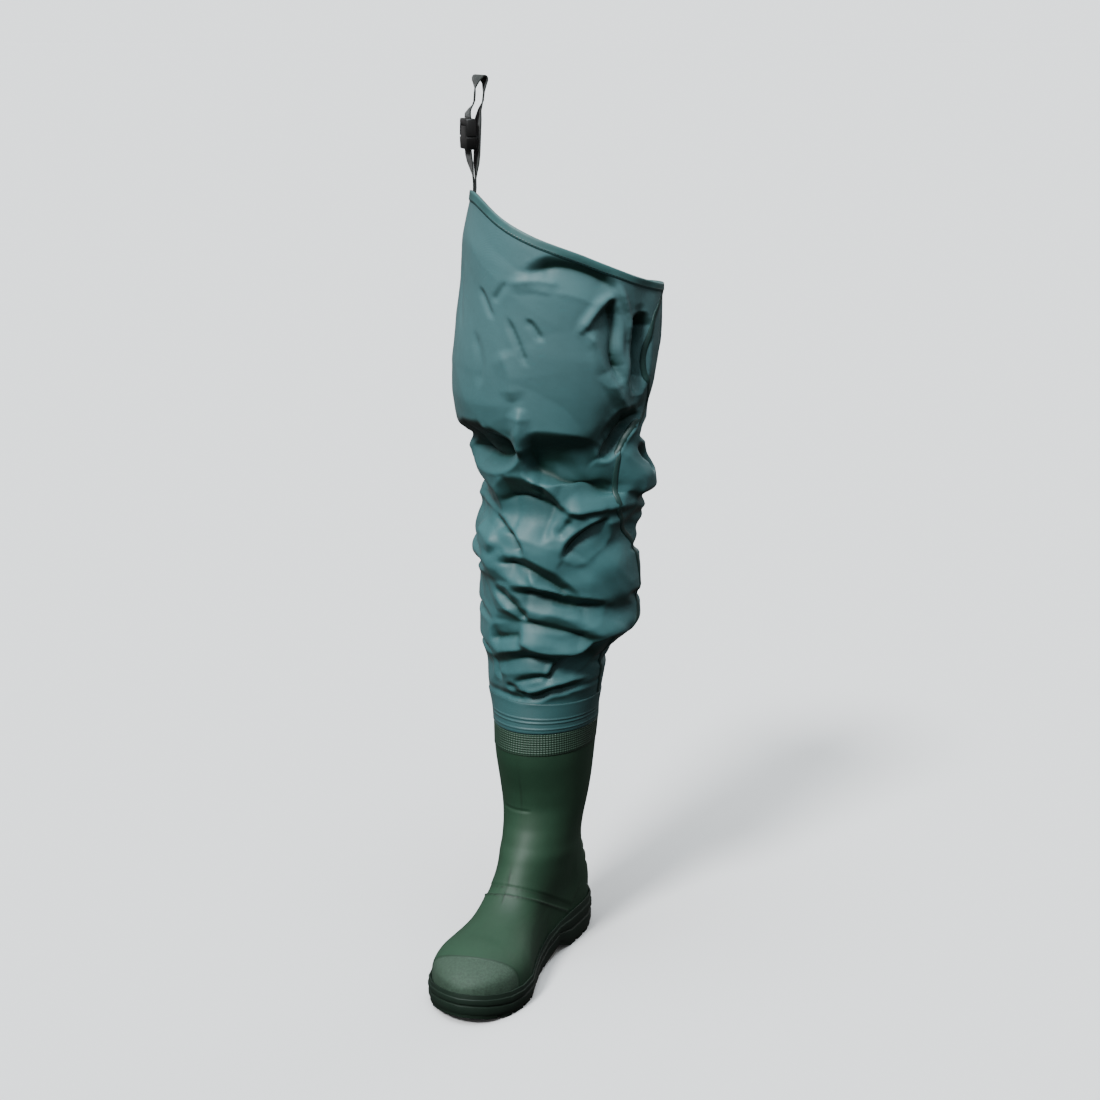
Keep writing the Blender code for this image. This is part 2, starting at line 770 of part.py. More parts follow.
def inseam_tape():
    """The raised seam down the inner side: a strip cut from the leg's own surface."""
    strip = thicken(leg_skin("inseam_tape", leg_rings()[:-1], "hem"), -GAP, GAP + TAPE_WALL)
    low = SEAM.rows[0][0]
    high = SEAM.rows[-1][0] - 2 * HEM_HEIGHT / LEG_HEIGHT
    count = 24
    bm = bmesh.new()
    loops = []
    for k in range(count + 1):
        height = low + (high - low) * k / count
        turn = SEAM.read("turn", height)
        inner = leg_point(turn, height, -TAPE_CUT)
        outer = leg_point(turn, height, TAPE_CUT)
        step = TAPE_STEP / LEG_HEIGHT
        ahead = leg_point(SEAM.read("turn", height + step), height + step, TAPE_CUT)
        behind = leg_point(SEAM.read("turn", height - step), height - step, TAPE_CUT)
        aside = (outer - inner).cross(ahead - behind).normalized() * TAPE_WIDTH / 2
        corners = (inner - aside, inner + aside, outer + aside, outer - aside)
        loops.append([bm.verts.new(corner) for corner in corners])
    for low_loop, high_loop in zip(loops, loops[1:]):
        for k in range(4):
            m = (k + 1) % 4
            bm.faces.new((low_loop[k], low_loop[m], high_loop[m], high_loop[k]))
    bm.faces.new(loops[0])
    bm.faces.new(loops[-1])
    cutter = keep("inseam_cutter", bm, "foam")
    cutter.hide_render = True
    cutter.display_type = "WIRE"
    return combine(strip, cutter, "INTERSECT")


# Belt loop, sewn inside the collar's highest point
PEAK_TURN = 180
SHORT_SEAT = LEG_WALL + GAP + SEWN_SLACK + WEBBING_WALL / 2
LONG_SEAT = SHORT_SEAT + WEBBING_WALL + GAP


def peak():
    """Middle of the leg's outer side at the collar's highest point, where flat webbing lies."""
    top = leg_point(PEAK_TURN, 1.0)
    spread = math.degrees(math.atan2(WEBBING_WIDTH / 2, -top.x))
    return Vector((leg_point(PEAK_TURN + spread, 1.0).x, top.y, top.z))


def ribbon(name, path, finish):
    """Webbing along a path of (point, across, face) with its width across and wall along face."""
    bm = bmesh.new()
    loops = []
    for point, across, face in path:
        half = across.normalized() * WEBBING_WIDTH / 2
        wall = face.normalized() * WEBBING_WALL / 2
        corners = (point - half - wall, point + half - wall, point + half + wall, point - half + wall)
        loops.append([bm.verts.new(corner) for corner in corners])
    for low, high in zip(loops, loops[1:]):
        for k in range(4):
            m = (k + 1) % 4
            bm.faces.new((low[k], low[m], high[m], high[k]))
    bm.faces.new(loops[0])
    bm.faces.new(loops[-1])
    return keep(name, bm, finish)


def sewn_path(seat):
    """Points up the leg's inner side, from the end of the sewn stretch to the collar's edge."""
    base = peak()
    points = []
    for k in (3, 2, 1, 0):
        share = 1 - k / 3 * SEWN_LENGTH / LEG_HEIGHT
        spread = math.degrees(math.atan2(WEBBING_WIDTH / 2, -base.x))
        side = max(leg_point(PEAK_TURN + turn, share).x for turn in (-spread, 0, spread))
        points.append(Vector((side + seat, base.y, BOOT_HEIGHT + GAP + share * LEG_HEIGHT)))
    return points


def run_point(run, seat, rise):
    """A point of the loop's long or short run, at a share of the loop's height."""
    base = peak()
    inward = seat + LOOP.read(run, rise) * WEBBING_WIDTH
    return Vector((base.x + inward, base.y, base.z + rise * STRAP_RISE))


def framed(points):
    """Gives each point its frame, with the loop's top turned about its own upright line."""
    base = peak()
    path = []
    for k, point in enumerate(points):
        ahead = points[min(k + 1, len(points) - 1)] - points[max(k - 1, 0)]
        across = Vector((0, 1, 0))
        face = across.cross(ahead)
        rise = (point.z - base.z) / STRAP_RISE
        turn = Matrix.Rotation(LOOP_TWIST * smooth(TWIST_RISE, 1.0, rise), 3, "Z")
        middle = (run_point("long", LONG_SEAT, rise) + run_point("short", SHORT_SEAT, rise)) / 2
        middle.z = point.z
        path.append((middle + turn @ (point - middle), turn @ across, turn @ face))
    return path


def turned(thing):
    """Turns the strap's free middle a little outward, as it hangs between its seat and its loop."""
    base = peak()
    for vertex in thing.data.vertices:
        rise = (vertex.co.z - base.z) / STRAP_RISE
        share = smooth(*TURN_RISES[:2], rise) - smooth(*TURN_RISES[2:], rise)
        middle = Vector((base.x + SHORT_SEAT, base.y, vertex.co.z))
        vertex.co = middle + Matrix.Rotation(STRAP_TURN * share, 3, "Z") @ (vertex.co - middle)
    return thing


def belt_strap():
    """Webbing from the leg up behind the buckle, over the top and down into the plug."""
    points = sewn_path(LONG_SEAT)
    rises = [CROWN_RISE * k / CROWN_STEPS for k in range(1, CROWN_STEPS + 1)]
    points += [run_point("long", LONG_SEAT, rise) for rise in rises]
    down = run_point("short", SHORT_SEAT, CROWN_RISE)
    middle = (points[-1] + down) / 2
    radius = (points[-1].x - down.x) / 2
    over = STRAP_RISE * (1 - CROWN_RISE) - WEBBING_WALL / 2
    for k in range(1, 8):
        angle = math.pi * k / 8
        points.append(middle + Vector((radius * math.cos(angle), 0, over * math.sin(angle))))
    end = BUCKLE_RISE + (BUCKLE_LENGTH + GAP) / STRAP_RISE
    for k in range(9):
        points.append(run_point("short", SHORT_SEAT, CROWN_RISE + (end - CROWN_RISE) * k / 8))
    return ribbon("belt_strap", framed(points), "webbing")


def strap_short():
    """The short webbing from the leg to the buckle's socket."""
    points = sewn_path(SHORT_SEAT)
    end = BUCKLE_RISE - GAP / STRAP_RISE
    for k in range(1, 7):
        points.append(run_point("short", SHORT_SEAT, end * k / 6))
    return ribbon("strap_short", framed(points), "webbing")


def plate(name, outline, middle_x, middle_y):
    """A moulded plate: an outline of (across, height) given its wall and rounded edges."""
    bm = bmesh.new()
    front = [bm.verts.new((middle_x - BUCKLE_WALL / 2, middle_y + a, z)) for a, z in outline]
    face = bm.faces.new(front)
    grown = bmesh.ops.extrude_face_region(bm, geom=[face])
    moved = [v for v in grown["geom"] if isinstance(v, bmesh.types.BMVert)]
    bmesh.ops.translate(bm, vec=(BUCKLE_WALL, 0, 0), verts=moved)
    thing = keep(name, bm, "plastic")
    rounding = thing.modifiers.new("edge", "BEVEL")
    rounding.width = BUCKLE_EDGE
    rounding.segments = 2
    rounding.limit_method = "ANGLE"
    rounding.angle_limit = math.radians(50)
    apply_modifiers(thing)
    return thing


def buckle():
    """The fastened side-release buckle: a socket below and a plug whose arms pass beside it."""
    middle = run_point("short", SHORT_SEAT, BUCKLE_RISE)
    low = middle.z
    high = low + BUCKLE_LENGTH
    half = BUCKLE_WIDTH / 2
    neck = half - BUCKLE_ARM - GAP
    shoulder = low + 0.42 * BUCKLE_LENGTH
    bar = high - 0.22 * BUCKLE_LENGTH
    socket = [
        (-half * 0.86, low),
        (half * 0.86, low),
        (half, shoulder - GAP),
        (neck, shoulder - GAP),
        (neck * 0.86, bar - GAP),
        (-neck * 0.86, bar - GAP),
        (-neck, shoulder - GAP),
        (-half, shoulder - GAP),
    ]
    plug = [
        (-half * 0.86, high),
        (-half, shoulder),
        (-neck - GAP, shoulder),
        (-neck * 0.86 - GAP, bar),
        (neck * 0.86 + GAP, bar),
        (neck + GAP, shoulder),
        (half, shoulder),
        (half * 0.86, high),
    ]
    return [
        plate("buckle_socket", socket, middle.x, middle.y),
        plate("buckle_plug", plug, middle.x, middle.y),
    ]


def centre(things):
    """Puts the middle of the whole thing's underside at the origin."""
    points = [v.co for thing in things for v in thing.data.vertices]
    low = Vector([min(p[i] for p in points) for i in range(3)])
    high = Vector([max(p[i] for p in points) for i in range(3)])
    shift = Vector((-(low.x + high.x) / 2, -(low.y + high.y) / 2, -low.z))
    for thing in things:
        thing.data.transform(Matrix.Translation(shift))


def main():
    clear_scene()
    foot = [boot_upper(), boot_band(), outsole(), insole()]
    stand_under_leg(foot)
    cloth = [leg(), leg_cuff(), collar_hem(), inseam_tape()]
    loop = [turned(thing) for thing in (belt_strap(), strap_short(), *buckle())]
    centre(foot + cloth + loop)
    for thing in foot + cloth + loop:
        thing.data.set_sharp_from_angle(angle=math.radians(40))


main()
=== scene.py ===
"""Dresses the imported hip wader: creased coated leg, moulded boot, ribbed sole, welds and belt loop.

Metres, +Z up. The leg faces -Y, its outer side is -X, and the foot is turned outward under it.
"""

import math

import bmesh
import bpy
import numpy as np
from mathutils import Matrix, Vector, noise
from mathutils.bvhtree import BVHTree


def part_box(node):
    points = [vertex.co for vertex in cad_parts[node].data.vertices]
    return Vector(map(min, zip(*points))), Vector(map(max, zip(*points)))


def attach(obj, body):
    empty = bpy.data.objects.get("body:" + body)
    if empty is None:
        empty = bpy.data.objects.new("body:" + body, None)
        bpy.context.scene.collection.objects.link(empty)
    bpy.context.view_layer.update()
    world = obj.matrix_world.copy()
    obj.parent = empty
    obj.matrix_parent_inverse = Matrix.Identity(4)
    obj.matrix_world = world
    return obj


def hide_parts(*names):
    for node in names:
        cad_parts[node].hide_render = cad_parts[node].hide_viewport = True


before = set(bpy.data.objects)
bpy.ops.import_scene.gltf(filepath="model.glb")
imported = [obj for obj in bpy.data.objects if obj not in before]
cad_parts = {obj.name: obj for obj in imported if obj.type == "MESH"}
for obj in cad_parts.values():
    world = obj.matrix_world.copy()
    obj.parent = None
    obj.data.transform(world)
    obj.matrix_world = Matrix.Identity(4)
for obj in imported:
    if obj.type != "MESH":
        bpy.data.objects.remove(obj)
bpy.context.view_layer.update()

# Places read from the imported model
BAND_LOW, BAND_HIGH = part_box("boot_band")
LEG_LOW, LEG_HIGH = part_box("leg")
CUFF_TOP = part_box("leg_cuff")[1].z
AXIS = Vector(((BAND_LOW.x + BAND_HIGH.x) / 2, (BAND_LOW.y + BAND_HIGH.y) / 2, 0))
LEG_HEIGHT = LEG_HIGH.z - LEG_LOW.z
HALF_THIGH = (LEG_HIGH.x - LEG_LOW.x) / 2

# The foot's turn outward, and a millimetre in metres
FOOT_TURN = math.radians(23)
MM = 0.001

# Walls and bands. Each band stands WALL proud of what it lies on, and its rear is BACK behind it.
FABRIC_WALL = 0.0010
HEM_HEIGHT = 0.010
HEM_WALL = 0.0012
HEM_BACK = 0.0022
CUFF_WALL = 0.0009
CUFF_BACK = 0.0004
BAND_WALL = 0.0013
BAND_BACK = 0.0003
BOOT_WALL = 0.0022
TAPE_WIDTH = 0.0065
TAPE_RAISE = 0.0011

# Points of the grids, how far off a ray to a surface starts, and how close points are merged
LEG_AROUND = 252
LEG_UP = 310
BOOT_AROUND = 168
BOOT_UP = 250
REACH = 0.40
GRID_MERGE = 0.00002
NODE_MERGE = 0.00001
TURNS = np.arange(LEG_AROUND) * 2 * math.pi / LEG_AROUND


def smooth(low, high, at):
    """Eases from 0 to 1 between two values."""
    part = np.clip((at - low) / (high - low), 0, 1)
    return part * part * (3 - 2 * part)


def surface_of(node):
    """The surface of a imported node, for finding places on it."""
    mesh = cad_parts[node].data
    points = [vertex.co.copy() for vertex in mesh.vertices]
    return BVHTree.FromPolygons(points, [list(face.vertices) for face in mesh.polygons])


def select_only(thing):
    bpy.ops.object.select_all(action="DESELECT")
    thing.select_set(True)
    bpy.context.view_layer.objects.active = thing


def finish_piece(thing, name, node, skin):
    """Names a piece, gives it its finish and lets it ride with the wader."""
    thing.name = name
    thing.data.name = name
    thing.data.materials.clear()
    thing.data.materials.append(skin)
    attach(thing, "root")
    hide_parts(node)
    return thing


def lay_grid(rows, marks):
    """A grid primitive laid over rows of points that run round a closed form, with named marks."""
    up, around = rows.shape[:2]
    bpy.ops.object.select_all(action="DESELECT")
    bpy.ops.mesh.primitive_grid_add(x_subdivisions=around, y_subdivisions=up - 1, size=1)
    thing = bpy.context.object
    closed = np.concatenate([rows, rows[:, :1]], axis=1)
    thing.data.vertices.foreach_set("co", closed.reshape(-1).astype(np.float32))
    for mark, values in marks.items():
        layer = thing.data.attributes.new(mark, "FLOAT", "POINT")
        values = np.concatenate([values, values[:, :1]], axis=1)
        layer.data.foreach_set("value", values.reshape(-1).astype(np.float32))
    bpy.ops.object.mode_set(mode="EDIT")
    bpy.ops.mesh.select_all(action="SELECT")
    bpy.ops.mesh.remove_doubles(threshold=GRID_MERGE)
    bpy.ops.mesh.normals_make_consistent(inside=False)
    bpy.ops.object.mode_set(mode="OBJECT")
    bpy.ops.object.shade_smooth()
    return thing


def apply_all(thing):
    select_only(thing)
    for modifier in list(thing.modifiers):
        bpy.ops.object.modifier_apply(modifier=modifier.name)


def soften(rows, across, along):
    """Averages rows of points round the form, and then up it between the end rows."""
    rows = rows.copy()
    for _ in range(across):
        rows = (np.roll(rows, 1, axis=1) + 2 * rows + np.roll(rows, -1, axis=1)) / 4
    for _ in range(along):
        rows[1:-1] = (rows[:-2] + 2 * rows[1:-1] + rows[2:]) / 4
    return rows


def normals_of(rows):
    """Outward directions of rows of points that run anticlockwise from the bottom up."""
    round_way = np.roll(rows, -1, axis=1) - np.roll(rows, 1, axis=1)
    up_way = np.gradient(rows, axis=0)
    found = np.cross(round_way, up_way)
    return found / (np.linalg.norm(found, axis=2, keepdims=True) + 1e-12)


def noise_of(rows, size, seed):
    """Smooth noise from -1 to 1 over rows of points, with waves of about one size."""
    shift = Vector((seed * 7.3, seed * 3.1, seed * 5.7))
    flat = [noise.noise(Vector(p) / size + shift) for p in rows.reshape(-1, 3)]
    return np.array(flat).reshape(rows.shape[:2])


# Crumpling between the creases: facets round the leg, height of one in metres, seed of its heights
PLANES = (13, 0.036, 4)
CRINKLES = (31, 0.015, 8)
FACET_LEVELS = 64
WANDER_SIZE = 0.085


def facets(rows, across, tall, seed):
    """Flat-sided noise from -1 to 1, as in crumpled cloth: heights at the corners of loose triangles."""
    heights = np.random.default_rng(seed).uniform(-1, 1, (across, FACET_LEVELS))
    u = np.arange(rows.shape[1])[None, :] * across / rows.shape[1] + 0.55 * noise_of(rows, WANDER_SIZE, seed)
    v = (rows[:, :, 2] - LEG_LOW.z) / tall + 0.75 * noise_of(rows, WANDER_SIZE, seed + 1)
    i, k = np.floor(u).astype(int), np.floor(v).astype(int)
    u, v = u - i, v - k
    corner = [[heights[(i + a) % across, (k + b) % FACET_LEVELS] for b in (0, 1)] for a in (0, 1)]
    near = corner[0][0] + (corner[1][0] - corner[0][0]) * u + (corner[0][1] - corner[0][0]) * v
    far = corner[1][1] + (corner[0][1] - corner[1][1]) * (1 - u) + (corner[1][0] - corner[1][1]) * (1 - v)
    return np.where(u + v < 1, near, far)


# Leg of coated fabric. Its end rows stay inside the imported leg's edges by these clearances in metres.
LEG_SURFACE = surface_of("leg")
EDGE_CLEAR = 0.0002
COLLAR_CLEAR = 0.0006
CROWN_CLEAR = 0.0008
# The collar is never below this share of the leg, and its edge is found in so many halvings. Where a
# ray misses the leg, so many are tried beside it: higher in the lowest rows, and lower in the others.
LEAST_COLLAR = 0.6
HALVINGS = 14
TRIES = 9
LOWEST_ROWS = 9


def leg_hit(angle, height):
    """The leg's outer side at a height, seen from one direction round its axis."""
    away = Vector((math.cos(angle), math.sin(angle), 0))
    start = Vector((AXIS.x, AXIS.y, height)) + away * REACH
    return LEG_SURFACE.ray_cast(start, -away, REACH)[0]


def collar_height(angle):
    """Height of the collar's edge in one direction, found by halving."""
    low, high = LEG_LOW.z + LEAST_COLLAR * LEG_HEIGHT, LEG_HIGH.z + 0.001
    for _ in range(HALVINGS):
        middle = (low + high) / 2
        if leg_hit(angle, middle) is None:
            high = middle
        else:
            low = middle
    return low - EDGE_CLEAR


def leg_base():
    """Rows of points on the leg, level at the boot and slanted with the collar at the top."""
    tops = np.array([collar_height(angle) for angle in TURNS])
    for _ in range(6):
        tops = (np.roll(tops, 1) + 2 * tops + np.roll(tops, -1)) / 4
    tops -= COLLAR_CLEAR
    rows = np.zeros((LEG_UP + 1, LEG_AROUND, 3))
    foot = LEG_LOW.z + EDGE_CLEAR
    crown = LEG_HIGH.z - CROWN_CLEAR
    for j in range(LEG_UP + 1):
        share = j / LEG_UP
        slant = float(smooth(0.40, 1.0, share))
        for i, angle in enumerate(TURNS):
            height = foot + share * (crown - foot + (tops[i] - crown) * slant)
            height = min(height, tops[i] - (LEG_UP - j) * EDGE_CLEAR)
            spot = leg_hit(angle, height)
            lift = 0
            while spot is None and lift < TRIES:
                lift += 1
                inward = 0.0003 if j < LOWEST_ROWS else -0.0003
                spot = leg_hit(angle + lift * 0.002, height + lift * inward)
            rows[j, i] = (spot.x, spot.y, height)
    return rows


# Creases of the leg. Each: how deep, how far it reaches above the line, how far below, and its points.
# Lengths in millimetres. A negative depth is a ridge. Points: side to side as a share of half the
# thigh's width from the axis, and height as a share of the leg's. Lines run left to right as seen,
# or down, and then above is the right side.
FRONT_CREASES = (
    (8.0, 13, 26, ((-0.18, 0.868), (0.07, 0.879), (0.29, 0.873), (0.48, 0.858), (0.64, 0.834))),
    (-2.5, 10, 14, ((-0.34, 0.850), (-0.10, 0.856), (0.12, 0.850))),
    (11.0, 9, 26, ((0.57, 0.822), (0.63, 0.770), (0.64, 0.720), (0.69, 0.668))),
    (-4.0, 9, 9, ((0.30, 0.762), (0.45, 0.799), (0.62, 0.828))),
    (-4.0, 12, 12, ((0.34, 0.764), (0.45, 0.743), (0.55, 0.697), (0.66, 0.652), (0.80, 0.596))),
    (-4.0, 7, 7, ((0.66, 0.845), (0.74, 0.788), (0.79, 0.720))),
    (22.0, 18, 17, ((0.90, 0.856), (0.86, 0.790), (0.88, 0.720), (0.84, 0.640))),
    (2.0, 4, 7, ((-0.35, 0.790), (-0.25, 0.745), (-0.17, 0.705))),
    (1.9, 4, 7, ((-0.17, 0.788), (-0.10, 0.772), (-0.03, 0.750))),
    (1.8, 4, 7, ((-0.60, 0.838), (-0.54, 0.812), (-0.48, 0.785))),
    (1.6, 5, 6, ((-0.48, 0.815), (-0.42, 0.832), (-0.35, 0.852))),
    (1.6, 8, 10, ((-0.66, 0.760), (-0.60, 0.710), (-0.62, 0.660))),
    (-2.5, 16, 16, ((-0.42, 0.730), (-0.34, 0.690), (-0.30, 0.640))),
    (20.0, 44, 15, ((-0.92, 0.556), (-0.72, 0.531), (-0.56, 0.524), (-0.40, 0.536), (-0.33, 0.566))),
    (20.0, 44, 34, ((-0.22, 0.508), (-0.02, 0.513), (0.29, 0.496), (0.56, 0.472), (0.90, 0.440))),
    (-6.0, 13, 13, ((-0.24, 0.630), (-0.25, 0.580), (-0.22, 0.535))),
    (17.0, 28, 8, ((0.52, 0.530), (0.62, 0.545), (0.72, 0.570), (0.86, 0.604))),
    (9.0, 10, 9, ((0.86, 0.540), (0.96, 0.512), (1.03, 0.484))),
    (-6.0, 14, 9, ((-0.20, 0.498), (-0.02, 0.478), (0.18, 0.438))),
    (-6.0, 18, 8, ((0.18, 0.437), (0.50, 0.437), (0.86, 0.432))),
    (14.0, 26, 40, ((-0.64, 0.428), (-0.44, 0.446), (-0.26, 0.453), (-0.02, 0.446), (0.20, 0.430))),
    (9.0, 6, 20, ((-0.60, 0.432), (-0.46, 0.415), (-0.34, 0.388), (-0.23, 0.352))),
    (-5.0, 14, 14, ((-0.76, 0.420), (-0.64, 0.385), (-0.46, 0.362))),
    (12.0, 8, 26, ((0.17, 0.350), (0.26, 0.376), (0.40, 0.396), (0.60, 0.415), (0.96, 0.424))),
    (3.5, 10, 8, ((0.10, 0.388), (0.16, 0.402), (0.24, 0.420))),
    (10.0, 12, 18, ((-0.74, 0.318), (-0.48, 0.334), (-0.23, 0.329), (0.05, 0.301), (0.31, 0.260))),
    (-4.0, 8, 8, ((-0.20, 0.318), (-0.08, 0.294), (0.10, 0.284), (0.30, 0.266))),
    (
        11.0, 10, 26,
        ((-0.35, 0.283), (-0.13, 0.276), (0.13, 0.263), (0.33, 0.255), (0.57, 0.250), (0.92, 0.230)),
    ),
    (8.0, 11, 9, ((-0.68, 0.312), (-0.48, 0.280), (-0.34, 0.254), (-0.22, 0.228))),
    (11.0, 17, 20, ((-0.50, 0.220), (-0.13, 0.219), (0.22, 0.204), (0.50, 0.176))),
    (8.0, 16, 14, ((-0.70, 0.160), (-0.54, 0.178), (-0.40, 0.189), (-0.24, 0.191))),
    (-5.0, 13, 9, ((-0.28, 0.190), (-0.02, 0.171), (0.22, 0.168), (0.50, 0.176))),
    (11.0, 7, 23, ((0.01, 0.110), (0.14, 0.138), (0.33, 0.158), (0.58, 0.177), (0.88, 0.194))),
    (7.5, 12, 14, ((-0.50, 0.128), (-0.20, 0.151), (0.12, 0.142))),
    (5.0, 6, 11, ((-0.56, 0.162), (-0.50, 0.130), (-0.43, 0.098))),
    (4.6, 8, 5, ((-0.58, 0.078), (-0.38, 0.089), (-0.15, 0.075))),
    (4.2, 7, 6, ((-0.30, 0.100), (-0.07, 0.114), (0.06, 0.110))),
    (5.4, 12, 4, ((-0.56, 0.066), (-0.25, 0.062), (-0.09, 0.068), (0.14, 0.084), (0.54, 0.090))),
    (-3.5, 6, 6, ((-0.34, 0.083), (-0.14, 0.086), (0.10, 0.102), (0.40, 0.108))),
)
# The same, seen from behind, so that left is the inner side
BACK_CREASES = (
    (2.0, 10, 14, ((-0.50, 0.800), (-0.20, 0.760), (0.00, 0.700))),
    (-3.0, 14, 12, ((0.10, 0.820), (0.24, 0.740), (0.22, 0.640))),
    (2.0, 6, 8, ((0.40, 0.820), (0.46, 0.770), (0.44, 0.720))),
    (12.0, 26, 10, ((-0.80, 0.520), (-0.45, 0.500), (-0.10, 0.506), (0.20, 0.530))),
    (10.0, 24, 9, ((0.10, 0.470), (0.40, 0.488), (0.80, 0.530))),
    (-6.0, 9, 16, ((-0.60, 0.475), (-0.20, 0.462), (0.20, 0.446))),
    (11.0, 20, 8, ((-0.70, 0.430), (-0.30, 0.418), (0.10, 0.424), (0.36, 0.440))),
    (8.0, 8, 18, ((0.00, 0.372), (0.34, 0.392), (0.76, 0.430))),
    (7.0, 16, 7, ((-0.80, 0.350), (-0.40, 0.340), (0.02, 0.352))),
    (6.0, 6, 13, ((0.10, 0.300), (0.36, 0.316), (0.70, 0.330))),
    (7.0, 14, 6, ((-0.84, 0.290), (-0.40, 0.272), (0.00, 0.276), (0.30, 0.262))),
    (5.0, 6, 10, ((-0.20, 0.222), (0.16, 0.236), (0.60, 0.262))),
    (6.5, 13, 6, ((-0.80, 0.212), (-0.36, 0.196), (0.02, 0.186))),
    (5.0, 9, 5, ((-0.52, 0.140), (-0.14, 0.126), (0.24, 0.136), (0.52, 0.160))),
    (4.0, 8, 4, ((-0.50, 0.082), (-0.20, 0.070), (0.18, 0.080), (0.50, 0.072))),
)
# From the outer side, across from the back to the front
OUTER_CREASES = (
    (9.0, 22, 9, ((-0.60, 0.548), (-0.20, 0.540), (0.20, 0.552))),
    (8.0, 16, 7, ((-0.50, 0.470), (-0.10, 0.462), (0.30, 0.468))),
    (-4.0, 8, 14, ((-0.40, 0.430), (0.00, 0.438), (0.40, 0.424))),
    (6.0, 12, 6, ((-0.50, 0.372), (-0.10, 0.356), (0.36, 0.340))),
    (5.5, 11, 5, ((-0.40, 0.300), (0.00, 0.310), (0.40, 0.318))),
    (5.0, 10, 5, ((-0.50, 0.232), (-0.05, 0.226), (0.40, 0.216))),
    (4.5, 9, 5, ((-0.40, 0.150), (0.00, 0.160), (0.36, 0.146))),
    (1.6, 6, 8, ((-0.30, 0.900), (-0.16, 0.840), (-0.20, 0.780))),
    (1.4, 5, 8, ((0.20, 0.880), (0.24, 0.820), (0.36, 0.760))),
)
# From the inner side, across from the front to the back
INNER_CREASES = (
    (8.0, 18, 8, ((-0.30, 0.560), (0.06, 0.548), (0.50, 0.520))),
    (9.0, 16, 8, ((-0.36, 0.440), (0.10, 0.430), (0.50, 0.436))),
    (-4.0, 8, 14, ((-0.30, 0.402), (0.10, 0.396), (0.44, 0.404))),
    (6.0, 13, 6, ((-0.30, 0.346), (0.14, 0.336), (0.50, 0.352))),
    (6.0, 6, 12, ((-0.36, 0.262), (0.10, 0.252), (0.50, 0.286))),
    (4.5, 9, 5, ((-0.40, 0.128), (0.00, 0.120), (0.40, 0.140))),
    (3.0, 12, 12, ((-0.16, 0.780), (-0.06, 0.700), (-0.10, 0.630))),
)


def looking(across, ahead):
    """Turns a side view's share and height into a place on the leg's surface."""

    def place(share, height):
        start = AXIS + across * (share * HALF_THIGH) - ahead * REACH
        start.z = LEG_LOW.z + height * LEG_HEIGHT
        return LEG_SURFACE.ray_cast(start, ahead, REACH)[0]

    return place


VIEWS = (
    (FRONT_CREASES, looking(Vector((1, 0, 0)), Vector((0, 1, 0)))),
    (BACK_CREASES, looking(Vector((-1, 0, 0)), Vector((0, -1, 0)))),
    (OUTER_CREASES, looking(Vector((0, -1, 0)), Vector((1, 0, 0)))),
    (INNER_CREASES, looking(Vector((0, 1, 0)), Vector((-1, 0, 0)))),
)


def curve_through(points, count):
    """A smooth curve through given points, as evenly read places."""
    ends = [2 * points[0] - points[1], *points, 2 * points[-1] - points[-2]]
    found = []
    for a, b, c, d in zip(ends, ends[1:], ends[2:], ends[3:]):
        for k in range(count):
            t = k / count
            bend = 2 * a - 5 * b + 4 * c - d
            twist = 3 * b - a - 3 * c + d
            found.append(0.5 * (2 * b + (c - a) * t + bend * t**2 + twist * t**3))
    return np.array(found + [points[-1]])


# In metres: half the width of the painted shade line along a crease's bottom, the depth from which that
# line is full, and the depth from which the painted shade in folds is at its darkest. CREASE_CRISP sharpens
# all folds.
CREASE_LINE = 0.0024
FULL_LINE = 0.008
PAINTED_SHADE_DEPTH = 0.020
CREASE_CRISP = 0.9
FAR_AWAY = 1e9


def press_crease(rows, normals, line, deep, above, below):
    """How far one crease presses each point in, and a painted shade line along its bottom, both fading at its
    ends.
    """
    flat = rows.reshape(-1, 3)
    out = normals.reshape(-1, 3)
    best = np.full(len(flat), FAR_AWAY)
    side = np.zeros(len(flat))
    along = np.zeros(len(flat))
    middle = line.mean(axis=0)
    span = np.linalg.norm(line - middle, axis=1).max() + 2.5 * max(above, below)
    near = np.nonzero(np.linalg.norm(flat - middle, axis=1) < span)[0]
    spots = flat[near]
    for k, (a, b) in enumerate(zip(line, line[1:])):
        run = b - a
        length = np.linalg.norm(run)
        part = np.clip(((spots - a) @ run) / length**2, 0, 1)
        away = spots - (a + part[:, None] * run)
        gap = np.linalg.norm(away, axis=1)
        closer = gap < best[near]
        chosen = near[closer]
        best[chosen] = gap[closer]
        upward = np.cross(out[chosen], run / length)
        side[chosen] = (away[closer] * upward).sum(axis=1)
        along[chosen] = (k + part[closer]) / (len(line) - 1)
    ends = np.clip(5.0 * np.minimum(along, 1 - along) + 0.06, 0, 1) ** 0.8
    width = np.where(side > 0, above, below) * (0.55 + 0.45 * ends)
    press = np.clip(1 - best / width, 0, 1)
    press = press * (0.80 + 0.20 * press)
    # Painted shade: a darker line along the crease's bottom, for the colour only, not the shape
    sharp = np.exp(-((best / CREASE_LINE) ** 2)) * ends * np.clip(deep / FULL_LINE, 0, 1)
    return (deep * press * ends).reshape(rows.shape[:2]), sharp.reshape(rows.shape[:2])


